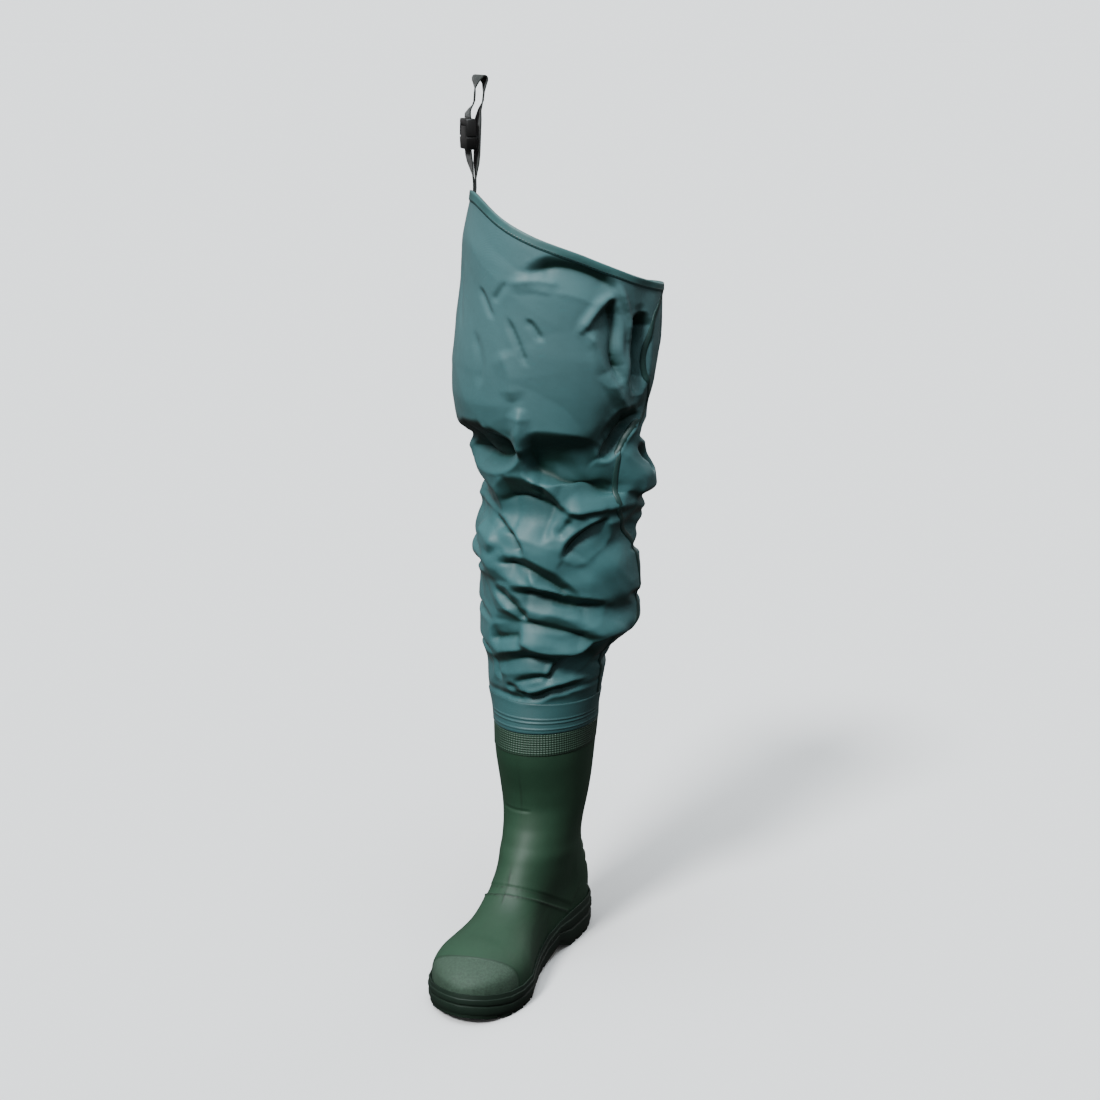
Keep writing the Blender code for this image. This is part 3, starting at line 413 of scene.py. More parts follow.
def creased(rows):
    """Presses the creases into the leg and returns its rows with painted shade for each point: darker deep in
    creases, along their bottoms and where the fabric faces down.
    """
    normals = normals_of(rows)
    total = np.zeros(rows.shape[:2])
    lines = np.zeros(rows.shape[:2])
    for creases, place in VIEWS:
        for deep, above, below, points in creases:
            found = [place(*point) for point in points]
            spots = [np.array(spot) for spot in found if spot is not None]
            if len(spots) < 2:
                continue
            line = curve_through(spots, 6)
            press, mark = press_crease(rows, normals, line, deep * MM, above * MM, below * MM)
            total += press
            lines = np.maximum(lines, mark)
    height = (rows[:, :, 2] - LEG_LOW.z) / LEG_HEIGHT
    slack = smooth(0.09, 0.16, height) * (1 - smooth(0.86, 0.97, height) * 0.6)
    knee = np.exp(-(((height - 0.30) / 0.20) ** 2))
    planes = facets(rows, *PLANES)
    crinkles = facets(rows, *CRINKLES)
    total += (planes * (0.9 + 3.0 * knee) + crinkles * (0.10 + 0.5 * knee)) * MM * slack
    total += CREASE_CRISP * (total - soften(total[:, :, None], 5, 5)[:, :, 0])
    hold = smooth(0.045, 0.075, height)
    edge = 1 - smooth(0.965, 0.995, np.linspace(0, 1, len(rows)))[:, None]
    total *= hold * (0.12 + 0.88 * edge)
    rows = soften(rows - normals * total[:, :, None], 1, 1)
    # Painted shade for the fabric's colour: where the fabric faces down, how deep it is pressed, and the
    # lines along the creases' bottoms
    under = np.clip(-normals_of(rows)[:, :, 2], 0, 1)
    sunk = np.clip(total / PAINTED_SHADE_DEPTH, 0, 1)
    return rows, sunk * 0.30 + under * 1.10 + lines * hold * 0.30


# A band's lower lip as a share of its wall, and how far its top edge rolls in as a share of a row
STRIP_LIP = 0.25
STRIP_ROLL = 0.15


def strip(rows, out, back, name, node, skin):
    """A closed band over some rows, its face out and its rear back from them.

    Its mark across runs from 0 at the face's lower edge to 1 at the upper, and is -1 on the rear.
    """
    normals = normals_of(rows)
    face = rows + normals * out
    rear = rows - normals * back
    section = np.concatenate([face, rear[::-1], face[:1]], axis=0)
    section[0] = section[-1] = rows[0] + normals[0] * (out * STRIP_LIP)
    section[len(rows) - 1] += (rows[-2] - rows[-1]) * STRIP_ROLL
    across = np.concatenate([np.linspace(0, 1, len(rows)), np.full(len(rows) + 1, -1.0)])
    thing = lay_grid(section, {"across": np.repeat(across[:, None], rows.shape[1], axis=1)})
    return finish_piece(thing, name, node, skin)


# The lining has one row for so many of the fabric's, looks for the deepest crease so many rows and
# points away, and stays so far behind it. It comes back to the fabric between two rows below the collar.
LINING_STEP = 5
LINING_ROWS = 8
LINING_POINTS = 2
LINING_SPARE = 0.0012
LINING_EASE = (10, 3)


def lining_of(rows):
    """Fewer rows for the inside, kept behind the deepest crease near each of their points."""
    spokes = rows[:, :, :2] - (AXIS.x, AXIS.y)
    reach = np.linalg.norm(spokes, axis=2)
    least = reach.copy()
    for j in range(len(rows)):
        near = reach[max(0, j - LINING_ROWS) : j + LINING_ROWS + 1].min(axis=0)
        aside = np.minimum(np.roll(near, LINING_POINTS), np.roll(near, -LINING_POINTS))
        least[j] = np.minimum(near, aside) - LINING_SPARE
    edge = smooth(len(rows) - LINING_EASE[0], len(rows) - LINING_EASE[1], np.arange(len(rows)))[:, None]
    least += (reach - least) * edge
    inside = rows.copy()
    inside[:, :, :2] -= spokes * ((reach - least + FABRIC_WALL) / reach)[:, :, None]
    return inside[::-LINING_STEP]


def main_leg(skins):
    """The creased leg with its lining, the collar's binding and the welded cuff."""
    rows, leg_painted_shade = creased(soften(leg_base(), 8, 8))
    inside = lining_of(rows)
    rows[-1] = (rows[-1] + inside[0]) / 2
    closed = np.concatenate([rows, inside, rows[:1]])
    # The painted shade rides on the leg as the mark the fabric darkens its colour by
    painted_fold_shades = np.concatenate([leg_painted_shade, leg_painted_shade[::-LINING_STEP], leg_painted_shade[:1]])
    thing = lay_grid(closed, {"painted_fold_shade": painted_fold_shades})
    finish_piece(thing, "wader_leg", "leg", skins["fabric"])
    thing.data.materials.append(skins["lining"])
    lining_from = len(rows) - 1
    for face in thing.data.polygons:
        face.material_index = int(face.index // LEG_AROUND >= lining_from)
    levels = rows[:, :, 2]
    hem_rows = 1 + int(round(HEM_HEIGHT / float(np.median(levels[-1] - levels[-2]))))
    strip(rows[-hem_rows:], HEM_WALL, HEM_BACK, "collar_binding", "collar_hem", skins["hem"])
    cuff_rows = int((levels.mean(axis=1) < CUFF_TOP).sum())
    strip(rows[:cuff_rows], CUFF_WALL, CUFF_BACK, "welded_cuff", "leg_cuff", skins["cuff"])
    return rows


# Inner seam, from the collar down, as the creases' points are given
SEAM = (
    (1.050, 0.842), (1.060, 0.788), (0.970, 0.750), (0.885, 0.715), (0.900, 0.676), (0.955, 0.646),
    (0.940, 0.608), (0.810, 0.582), (0.665, 0.546), (0.635, 0.485), (0.670, 0.415), (0.820, 0.362),
    (0.885, 0.300), (0.890, 0.232), (0.820, 0.191), (0.620, 0.172), (0.530, 0.117), (0.500, 0.062),
)
SEAM_EASE = 30
# The tape's section: across it as a share of its width, and above the fabric as a share of its rise
TAPE_SECTION = ((-0.5, -0.2), (-0.46, 0.55), (-0.22, 0.7), (0.0, 1.0), (0.22, 0.7), (0.46, 0.55), (0.5, -0.2))


def inner_seam(rows, skin):
    """A welded seam tape that follows the creased fabric down the inner side."""
    flat = rows.reshape(-1, 3)
    around = rows.shape[1]
    faces = []
    for j in range(rows.shape[0] - 1):
        for i in range(around):
            k = (i + 1) % around
            faces.append((j * around + i, j * around + k, (j + 1) * around + k, (j + 1) * around + i))
    fabric = BVHTree.FromPolygons([Vector(p) for p in flat], faces)
    ahead = Vector((0, 1, 0))
    spots = []
    for share, height in SEAM:
        start = AXIS + Vector((min(share, 1.0) * HALF_THIGH, -REACH, 0))
        start.z = LEG_LOW.z + height * LEG_HEIGHT
        spot = fabric.ray_cast(start, ahead, REACH)[0]
        if spot is None:
            spot = fabric.find_nearest(Vector((AXIS.x + share * HALF_THIGH, AXIS.y, start.z)))[0]
        spots.append(np.array(spot))
    line = curve_through(spots, 9)
    for _ in range(SEAM_EASE):
        line[1:-1] = (line[:-2] + 2 * line[1:-1] + line[2:]) / 4
    cells = []
    for k, spot in enumerate(line):
        run = Vector(line[min(k + 1, len(line) - 1)] - line[max(k - 1, 0)]).normalized()
        normal = fabric.find_nearest(Vector(spot))[1]
        aside = run.cross(normal).normalized()
        cell = []
        for across, rise in TAPE_SECTION:
            place = Vector(spot) + aside * (across * TAPE_WIDTH)
            near, out = fabric.find_nearest(place)[:2]
            cell.append(near + out * (rise * TAPE_RAISE))
        cells.append(cell)
    bm = bmesh.new()
    loops = [[bm.verts.new(p) for p in cell] for cell in cells]
    for low, high in zip(loops, loops[1:]):
        for k in range(len(low)):
            m = (k + 1) % len(low)
            bm.faces.new((low[k], low[m], high[m], high[k]))
    bm.faces.new(loops[0])
    bm.faces.new(loops[-1])
    bmesh.ops.recalc_face_normals(bm, faces=bm.faces[:])
    mesh = bpy.data.meshes.new("seam_tape")
    bm.to_mesh(mesh)
    bm.free()
    mesh.shade_smooth()
    thing = bpy.data.objects.new("seam_tape", mesh)
    bpy.context.scene.collection.objects.link(thing)
    return finish_piece(thing, "seam_tape", "inseam_tape", skin)


# Ledges at the heel for pulling the boot off: height, half thickness and how far they stand out
HEEL_LEDGES = ((0.1100, 0.0028, 0.0036), (0.0965, 0.0028, 0.0036), (0.0800, 0.0036, 0.0036))

# Moulding of the boot in metres: how far each part stands out, and how deep each line is sunk
CAP_RAISE = 0.0010
ANKLE_BAND_RAISE = 0.0009
COUNTER_RAISE = 0.0008
COUNTER_RIDGE = 0.0008
SHIN_BAR_RAISE = 0.0015
BAND_GROOVE = 0.0012
BAND_LINE = 0.0004
MOULD_LINE = 0.0006

# Where the moulding lies in metres, side to side and ahead from the shaft's axis and up from the floor
CAP_AHEAD = 0.199
CAP_BOW = 0.0075
CAP_TOP = 0.080
BAND_SLOPE = 0.58
BAND_LOW_UP = 0.0307
BAND_HIGH_UP = 0.0429
COUNTER_SLOPE = 0.917
COUNTER_UP = 0.054
COUNTER_TOP = (0.108, 0.111)
COUNTER_FRONT = 0.05
HEEL_BACK = -0.008
HEEL_SIDES = (0.027, 0.036)
SHIN_BAR_UP = 0.1690
MOULD_LINE_UP = (0.082, 0.086)
MOULD_LINE_END = (0.106, 0.110)
EDGE_SLOPE = 0.0006

# Boot. Its sections follow a line down the shaft and along the foot. step: place on that line.
# ahead, up: their middle from the shaft's axis, in metres. turn: 0 level, 90 upright. tilt: toward
# the toe. The first one's height is the top of the boot's band, less a clearance.
BOOT_TOP_CLEAR = 0.0004
BOOT_LINE = (
    ("step", "ahead", "up", "turn", "tilt"),
    (0.00, 0.000, None, 0, 0),
    (0.20, 0.000, 0.190, 0, 0),
    (0.30, -0.009, 0.128, 20, 0),
    (0.40, 0.004, 0.081, 37, 0),
    (0.50, 0.050, 0.064, 52, 0),
    (0.60, 0.097, 0.054, 68, 0),
    (0.72, 0.150, 0.047, 90, 0),
    (0.82, 0.187, 0.041, 90, 0),
    (0.88, 0.190, 0.046, 90, 26),
    (1.00, 0.190, 0.054, 90, 89.5),
)


def foot_place(side, ahead, up):
    """A place given from the shaft's axis along the foot, in the wader's frame."""
    spot = Matrix.Rotation(-FOOT_TURN, 3, "Z") @ Vector((side, -ahead, up))
    return Vector((AXIS.x, AXIS.y, 0)) + spot


def foot_shares(rows):
    """Side, ahead and up of each point, from the shaft's axis along the foot."""
    x = rows[..., 0] - AXIS.x
    y = rows[..., 1] - AXIS.y
    cos, sin = math.cos(FOOT_TURN), math.sin(FOOT_TURN)
    return x * cos - y * sin, -(x * sin + y * cos), rows[..., 2]


def boot_base():
    """Rows of points on the boot's outer side, from its top down the shaft and along the foot."""
    upper = surface_of("boot_upper")
    sole = surface_of("outsole")
    table = [list(row) for row in BOOT_LINE[1:]]
    table[0][2] = BAND_HIGH.z - BOOT_TOP_CLEAR
    table = np.array(table, float)
    turn_all = Matrix.Rotation(-FOOT_TURN, 3, "Z")
    rows = np.zeros((BOOT_UP + 1, BOOT_AROUND, 3))
    on_sole = np.zeros((BOOT_UP + 1, BOOT_AROUND), bool)
    for j in range(BOOT_UP + 1):
        step = j / BOOT_UP
        ahead, up, turn, tilt = (np.interp(step, table[:, 0], table[:, c]) for c in range(1, 5))
        turn, tilt = math.radians(turn), math.radians(tilt)
        centre = foot_place(0, ahead, up)
        front = Vector((0, -math.cos(turn), math.sin(turn)))
        for i in range(BOOT_AROUND):
            angle = -2 * math.pi * i / BOOT_AROUND
            ray = math.cos(angle) * front + math.sin(angle) * Vector((1, 0, 0))
            ray = math.cos(tilt) * ray + math.sin(tilt) * Vector((0, -1, 0))
            ray = (turn_all @ ray).normalized()
            spot = upper.ray_cast(centre + ray * REACH, -ray, REACH)[0]
            if spot is None:
                spot = sole.ray_cast(centre, ray, REACH)[0]
                on_sole[j, i] = True
            if spot is None:
                spot = Vector(rows[j - 1, i])
            rows[j, i] = spot
    return rows, on_sole


# Heights of the sole's seat in metres at the heel, the ball and the toe, how close above it the
# upper is no longer smoothed, and how far the upper sinks where it lies on the sole
SEAT_HEEL = 0.034
SEAT_BALL = 0.018
SEAT_TOE = 0.028
SOLE_HOLD = (0.004, 0.016)
SOLE_SINK = 0.0010


def sole_top(rows):
    """Height of the sole's seat under each place, from the heel's to the toe's."""
    _, ahead, _ = foot_shares(rows)
    to_ball = smooth(0.012, 0.120, ahead)
    to_toe = np.clip((ahead - 0.174) / 0.061, 0, 1) ** 1.6
    return SEAT_HEEL + (SEAT_BALL - SEAT_HEEL) * to_ball + (SEAT_TOE - SEAT_BALL) * to_toe


def boot_relief(rows):
    """Raised and sunk moulding of the boot in metres, with marks for its cap and for painted shade along its
    grooves, seams and mould lines.
    """
    side, ahead, up = foot_shares(rows)

    cap_edge = CAP_AHEAD - CAP_BOW * ((side + 0.012) / 0.035) ** 2
    cap = smooth(-EDGE_SLOPE, 0.0008, ahead - cap_edge) * (up < CAP_TOP)
    relief = CAP_RAISE * cap
    cap_seam = np.exp(-((ahead - cap_edge + 0.0005) / 0.0007) ** 2) * (up < CAP_TOP)

    level = up - BAND_SLOPE * ahead
    above_low = level - (BAND_LOW_UP + 0.055 * side)
    below_high = BAND_HIGH_UP - level
    beyond_counter = up + COUNTER_SLOPE * ahead - COUNTER_UP
    front = smooth(0.0, 0.004, beyond_counter) * smooth(-0.02, 0.0, ahead)
    band = smooth(-0.0005, EDGE_SLOPE, above_low) * smooth(-0.0005, EDGE_SLOPE, below_high) * front
    groove = np.exp(-((above_low + 0.0008) / 0.0008) ** 2) * front
    line = np.exp(-((below_high - 0.0030) / 0.0005) ** 2) * front
    relief += ANKLE_BAND_RAISE * band - BAND_GROOVE * groove - BAND_LINE * line

    behind = ahead < COUNTER_FRONT
    counter = smooth(-EDGE_SLOPE, EDGE_SLOPE, -beyond_counter) * (1 - smooth(*COUNTER_TOP, up)) * behind
    ridge = np.exp(-((beyond_counter / 0.0010) ** 2)) * (up > 0.030) * (1 - smooth(0.100, 0.108, up)) * behind
    relief += COUNTER_RAISE * counter + COUNTER_RIDGE * ridge
    heel = (ahead < HEEL_BACK) * (1 - smooth(*HEEL_SIDES, np.abs(side)))
    for height, thick, rise in HEEL_LEDGES:
        relief += rise * np.exp(-(((up - height) / thick) ** 4)) * heel

    shin = np.exp(-(((up - SHIN_BAR_UP - 0.05 * (side + 0.03)) / 0.0011) ** 2)) * (ahead > 0.02)
    relief += SHIN_BAR_RAISE * shin * (1 - smooth(0.014, 0.022, np.abs(side + 0.014)))
    mould = np.exp(-(((side + 0.004) / 0.0007) ** 2)) * (ahead > 0.05) * smooth(*MOULD_LINE_UP, up)
    relief -= MOULD_LINE * mould * (1 - smooth(*MOULD_LINE_END, up))
    # The third mark is painted shade: darker along the ankle groove, the band's line, the cap's seam and the
    # mould line
    return relief, cap, np.clip(groove + 0.5 * line + 0.6 * cap_seam + 0.6 * mould, 0, 1)


def boot_shell(skins):
    """The moulded shell with its wall and lining, and the knurled weld band round its top."""
    base, on_sole = boot_base()
    soft = soften(base, 12, 16)
    clear = smooth(*SOLE_HOLD, base[:, :, 2] - sole_top(base))[:, :, None]
    rows = base + (soft - base) * clear
    rows[on_sole] -= np.array((0, 0, SOLE_SINK))
    relief, cap, lines = boot_relief(rows)
    relief = relief * ~on_sole
    normals = -normals_of(rows)
    rows = rows + normals * relief[:, :, None]
    rows[-3:] = rows[-4].mean(axis=0)
    # The line mark carries the painted shade of the grooves and seams
    thing = lay_grid(rows, {"cap": cap * ~on_sole, "line": lines * ~on_sole})
    wall = thing.modifiers.new("wall", "SOLIDIFY")
    wall.thickness = BOOT_WALL
    wall.offset = -1
    wall.material_offset = 1
    apply_all(thing)
    finish_piece(thing, "boot_shell", "boot_upper", skins["pvc"])
    thing.data.materials.append(skins["lining"])
    top = base[base[:, :, 2].mean(axis=1) > BAND_LOW.z][::-1]
    strip(soften(top, 3, 1), BAND_WALL, BAND_BACK, "weld_band", "boot_band", skins["band"])


def refined(node, name, skin, edge, angle):
    """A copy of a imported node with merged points, rounded edges and smooth faces."""
    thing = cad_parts[node].copy()
    thing.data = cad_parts[node].data.copy()
    for key in list(thing.keys()):
        del thing[key]
    thing.parent = None
    bpy.context.scene.collection.objects.link(thing)
    select_only(thing)
    bpy.ops.object.mode_set(mode="EDIT")
    bpy.ops.mesh.select_all(action="SELECT")
    bpy.ops.mesh.remove_doubles(threshold=NODE_MERGE)
    bpy.ops.mesh.customdata_custom_splitnormals_clear()
    bpy.ops.mesh.dissolve_limited(angle_limit=math.radians(1.0))
    bpy.ops.object.mode_set(mode="OBJECT")
    rounding = thing.modifiers.new("rounding", "BEVEL")
    rounding.width = edge
    rounding.segments = 2
    rounding.limit_method = "ANGLE"
    rounding.angle_limit = math.radians(angle)
    apply_all(thing)
    bpy.ops.object.shade_smooth_by_angle(angle=math.radians(angle))
    return finish_piece(thing, name, node, skin)


class Finish:
    """A material of one shader, with helpers for the nodes that vary it."""

    def __init__(self, name, colour, roughness):
        self.made = bpy.data.materials.new(name)
        self.made.use_nodes = True
        self.nodes = self.made.node_tree.nodes
        self.links = self.made.node_tree.links
        self.shader = self.nodes["Principled BSDF"]
        self.shader.inputs["Base Color"].default_value = (*colour, 1)
        self.shader.inputs["Roughness"].default_value = roughness
        self.place = self.nodes.new("ShaderNodeTexCoord").outputs["Object"]

    def set(self, **values):
        for name, value in values.items():
            self.shader.inputs[name.replace("_", " ")].default_value = value
        return self

    def noise(self, scale, detail=4, rough=0.55, stretch=(1, 1, 1)):
        mapping = self.nodes.new("ShaderNodeMapping")
        mapping.inputs["Scale"].default_value = stretch
        self.links.new(self.place, mapping.inputs["Vector"])
        made = self.nodes.new("ShaderNodeTexNoise")
        made.inputs["Scale"].default_value = scale
        made.inputs["Detail"].default_value = detail
        made.inputs["Roughness"].default_value = rough
        self.links.new(mapping.outputs["Vector"], made.inputs["Vector"])
        return made.outputs["Fac"]

    def maths(self, operation, first, second=None):
        made = self.nodes.new("ShaderNodeMath")
        made.operation = operation
        for socket, value in zip(made.inputs, (first, second)):
            if value is None:
                continue
            if isinstance(value, (int, float)):
                socket.default_value = value
            else:
                self.links.new(value, socket)
        return made.outputs["Value"]

    def ramp(self, value, *stops):
        """Colours or greys at places from 0 to 1."""
        made = self.nodes.new("ShaderNodeValToRGB")
        ramp = made.color_ramp
        while len(ramp.elements) < len(stops):
            ramp.elements.new(0.5)
        for element, (at, colour) in zip(ramp.elements, stops):
            element.position = at
            element.color = (*colour, 1) if isinstance(colour, tuple) else (colour, colour, colour, 1)
        self.links.new(value, made.inputs["Fac"])
        return made.outputs["Color"]

    def mix(self, factor, first, second):
        """One colour where the factor is 0 and the other where it is 1: each a socket or a colour."""
        made = self.nodes.new("ShaderNodeMix")
        made.data_type = "RGBA"
        self.links.new(factor, made.inputs["Factor"])
        for name, value in (("A", first), ("B", second)):
            if isinstance(value, tuple):
                made.inputs[name].default_value = (*value, 1)
            else:
                self.links.new(value, made.inputs[name])
        return made.outputs["Result"]

    def mark(self, name):
        made = self.nodes.new("ShaderNodeAttribute")
        made.attribute_name = name
        return made.outputs["Fac"]

    def split(self):
        made = self.nodes.new("ShaderNodeSeparateXYZ")
        self.links.new(self.place, made.inputs["Vector"])
        return made.outputs["X"], made.outputs["Y"], made.outputs["Z"]

    def turn(self):
        """The direction from the leg's axis, in radians."""
        x, y, _ = self.split()
        return self.maths("ARCTAN2", self.maths("SUBTRACT", y, AXIS.y), self.maths("SUBTRACT", x, AXIS.x))

    def stripe(self, value, at, half):
        """1 on a line where a value passes a place, and 0 past its half width."""
        gap = self.maths("ABSOLUTE", self.maths("SUBTRACT", value, at))
        return self.maths("MAXIMUM", self.maths("SUBTRACT", 1.0, self.maths("DIVIDE", gap, half)), 0.0)

    def colour(self, value):
        self.links.new(value, self.shader.inputs["Base Color"])
        return self

    def roughness(self, value):
        self.links.new(value, self.shader.inputs["Roughness"])
        return self

    def bump(self, *layers):
        """Stacks bumps, each a height and its distance in metres."""
        before = None
        for height, distance, strength in layers:
            made = self.nodes.new("ShaderNodeBump")
            made.inputs["Distance"].default_value = distance
            made.inputs["Strength"].default_value = strength
            self.links.new(height, made.inputs["Height"])
            if before:
                self.links.new(before, made.inputs["Normal"])
            before = made.outputs["Normal"]
        self.links.new(before, self.shader.inputs["Normal"])
        return self


def times(colour, more):
    """A colour made lighter or darker, never past white."""
    return tuple(min(1, part * more) for part in colour)


# Painted light: the fabric is painted lighter above the knee, where the light from above falls more: heights
# in metres, and how much lighter each colour gets
THIGH_PAINTED_LIGHT = ((0.55, 0.0), (0.68, 1.0))
THIGH_MORE = (1.62, 1.24, 1.24)
# Waves of the weaves and of the knurls up the band in radians a metre, and of the knurls and the
# stitches in one turn round the leg
NYLON_WEAVE = 5200
STRAP_ROWS = 3600
STRAP_CORDS = 2600
KNURLS_UP = 1250
KNURLS_AROUND = 66
HEM_STITCHES = 190
# Weld lines on the cuff and stitches on the hem, as shares of each band's height, with half widths
CUFF_WELDS = (0.16, 0.36, 0.48)
WELD_HALF = 0.05
STITCHES_AT = 0.22
STITCHES_HALF = 0.09


def coated_nylon(name, light, painted_shade_colour, welds=()):
    """Woven nylon under a thin satin coat, with painted shade in its folds, painted light above the knee,
    streaks of wear and painted sheen, and any weld lines.
    """
    f = Finish(name, light, 0.44)
    cloudy = f.noise(9, 5, 0.6)
    scuffs_and_sheen = f.noise(60, 6, 0.7, (1, 1, 2.5))
    # Painted shade: darker and greener in the folds and on downward faces
    painted_fold_shade = f.ramp(f.mark("painted_fold_shade"), (0.08, 0.0), (0.66, 1.0))
    x, y, z = f.split()
    # Painted light: lighter above the knee, where the light from above falls more
    thigh_painted_light = f.mix(f.ramp(z, *THIGH_PAINTED_LIGHT), light, tuple(c * more for c, more in zip(light, THIGH_MORE)))
    body = f.mix(f.ramp(cloudy, (0.35, 0.0), (0.70, 0.14)), thigh_painted_light, (0, 0, 0))
    # Lighter streaks: partly rubbed wear, partly a painted sheen
    lighter_patches = f.mix(f.ramp(scuffs_and_sheen, (0.58, 0.0), (0.76, 0.5)), body, times(light, 1.35))
    f.colour(f.mix(painted_fold_shade, lighter_patches, painted_shade_colour))
    f.roughness(f.ramp(cloudy, (0.3, 0.46), (0.7, 0.58)))
    warp = f.maths("SINE", f.maths("MULTIPLY", f.maths("ADD", x, y), NYLON_WEAVE))
    weft = f.maths("SINE", f.maths("MULTIPLY", z, NYLON_WEAVE))
    weave = f.maths("MULTIPLY", warp, weft)
    layers = [(f.noise(150, 5, 0.6), 0.0007, 0.25), (weave, 0.00012, 0.35)]
    across = f.mark("across")
    for at in welds:
        layers.append((f.stripe(across, at, WELD_HALF), 0.0007, 1.0))
    f.bump(*layers)
    return f.set(Coat_Weight=0.04, Coat_Roughness=0.35, Sheen_Weight=0.04, Specular_IOR_Level=0.38).made


def moulded_pvc(name, colour, cap_colour):
    """Dark green PVC with a soft gloss, dust in its pores, a grained toe cap, and painted shade along its
    grooves and seams.
    """
    f = Finish(name, colour, 0.36)
    cloudy = f.noise(14, 5, 0.6)
    grain = f.noise(900, 3, 0.6)
    cap = f.mark("cap")
    body = f.mix(f.ramp(cloudy, (0.35, 0.0), (0.72, 1.0)), colour, times(colour, 1.30))
    speckles = f.ramp(f.noise(420, 3, 0.7), (0.40, 0.0), (0.62, 1.0))
    capped = f.mix(cap, body, f.mix(speckles, times(cap_colour, 0.72), cap_colour))
    # Painted shade: the line mark darkens the colour along grooves, seams and the mould line
    f.colour(f.mix(f.mark("line"), capped, times(colour, 0.2)))
    soft = f.ramp(cloudy, (0.3, 0.56), (0.75, 0.66))
    f.roughness(f.mix(cap, soft, (0.68, 0.68, 0.68)))
    grained = f.maths("MULTIPLY", grain, f.maths("ADD", f.maths("MULTIPLY", cap, 0.9), 0.05))
    f.bump((f.noise(70, 4, 0.5), 0.0004, 0.18), (grained, 0.0012, 0.7))
    return f.set(Specular_IOR_Level=0.42, Coat_Weight=0.01, Coat_Roughness=0.35).made


def knurled(name, colour):
    """Small raised diamonds, as pressed into the weld band, with a painted highlight on their raised tops."""
    f = Finish(name, colour, 0.55)
    round_way = f.maths("MULTIPLY", f.turn(), KNURLS_AROUND)
    up_way = f.maths("MULTIPLY", f.split()[2], KNURLS_UP)
    one = f.maths("SINE", f.maths("ADD", round_way, up_way))
    two = f.maths("SINE", f.maths("SUBTRACT", round_way, up_way))
    diamonds = f.maths("MULTIPLY", one, two)
    # Painted highlight: the diamonds' tops are painted up to twice as light
    f.colour(f.mix(f.ramp(diamonds, (0.3, 0.0), (0.9, 1.0)), colour, times(colour, 2.0)))
    return f.bump((diamonds, 0.0006, 0.8)).made


def plain(name, colour, roughness, scale=400, height=0.0003, **values):
    """A quiet surface with fine grain and a little cloudiness."""
    f = Finish(name, colour, roughness)
    cloudy = f.noise(20, 4, 0.6)
    f.colour(f.mix(f.ramp(cloudy, (0.35, 0.0), (0.7, 1.0)), colour, times(colour, 1.4)))
    f.bump((f.noise(scale, 4, 0.6), height, 0.5))
    return f.set(**values).made


def bound_hem(name, colour):
    """The collar's folded binding, with one row of stitches near its lower edge."""
    f = Finish(name, colour, 0.5)
    dashes = f.maths("GREATER_THAN", f.maths("SINE", f.maths("MULTIPLY", f.turn(), HEM_STITCHES)), -0.35)
    thread = f.maths("MULTIPLY", f.stripe(f.mark("across"), STITCHES_AT, STITCHES_HALF), dashes)
    lighter_patches = f.mix(f.ramp(f.noise(24, 4, 0.6), (0.35, 0.0), (0.7, 1.0)), colour, times(colour, 1.35))
    f.colour(f.mix(thread, lighter_patches, times(colour, 0.45)))
    f.bump((f.noise(160, 4, 0.6), 0.0006, 0.4), (thread, 0.0006, 0.9))
    return f.set(Coat_Weight=0.06, Coat_Roughness=0.35).made


def webbing(name, colour):
    """Ribbed woven webbing with rows across its width, and a painted highlight on its raised weave."""
    f = Finish(name, colour, 0.8)
    _, y, z = f.split()
    rows = f.maths("SINE", f.maths("MULTIPLY", z, STRAP_ROWS))
    cords = f.maths("SINE", f.maths("MULTIPLY", y, STRAP_CORDS))
    weave = f.maths("MULTIPLY", rows, cords)
    # Painted highlight: the raised weave is painted up to 1.8 times as light
    f.colour(f.mix(f.ramp(weave, (0.2, 0.0), (0.9, 1.0)), colour, times(colour, 1.8)))
    return f.bump((weave, 0.0004, 0.7)).set(Sheen_Weight=0.2).made


def finishes():
    """Every finish of the wader by its name."""
    return {
        # Each nylon's second colour is its painted shade in folds
        "fabric": coated_nylon("coated_nylon", (0.040, 0.124, 0.132), (0.002, 0.026, 0.019)),
        "cuff": coated_nylon("cuff_nylon", (0.027, 0.088, 0.092), (0.010, 0.046, 0.044), CUFF_WELDS),
        "hem": bound_hem("hem_nylon", (0.030, 0.090, 0.090)),
        "seam": plain("seam_tape_nylon", (0.010, 0.038, 0.034), 0.5),
        "lining": plain("lining", (0.050, 0.075, 0.070), 0.8),
        "pvc": moulded_pvc("green_pvc", (0.0110, 0.0380, 0.0190), (0.036, 0.070, 0.046)),
        "band": knurled("weld_band_pvc", (0.015, 0.040, 0.024)),
        "sole": plain("sole_rubber", (0.0055, 0.0140, 0.0085), 0.62, 250, 0.0004, Specular_IOR_Level=0.3),
        "fleece": plain("fleece", (0.05, 0.055, 0.05), 0.95, 700, 0.001),
        "webbing": webbing("strap_webbing", (0.006, 0.009, 0.0075)),
        "plastic": plain("buckle_plastic", (0.006, 0.006, 0.006), 0.34, 900, 0.0001),
    }


# Camera, in metres, with its lens and sensor in millimetres
VIEW_DISTANCE = 2.2
VIEW_HEIGHT = 1.02
VIEW_ASIDE = 0.004
AIM_HEIGHT = 0.45
LENS = 69.0
SENSOR = 36

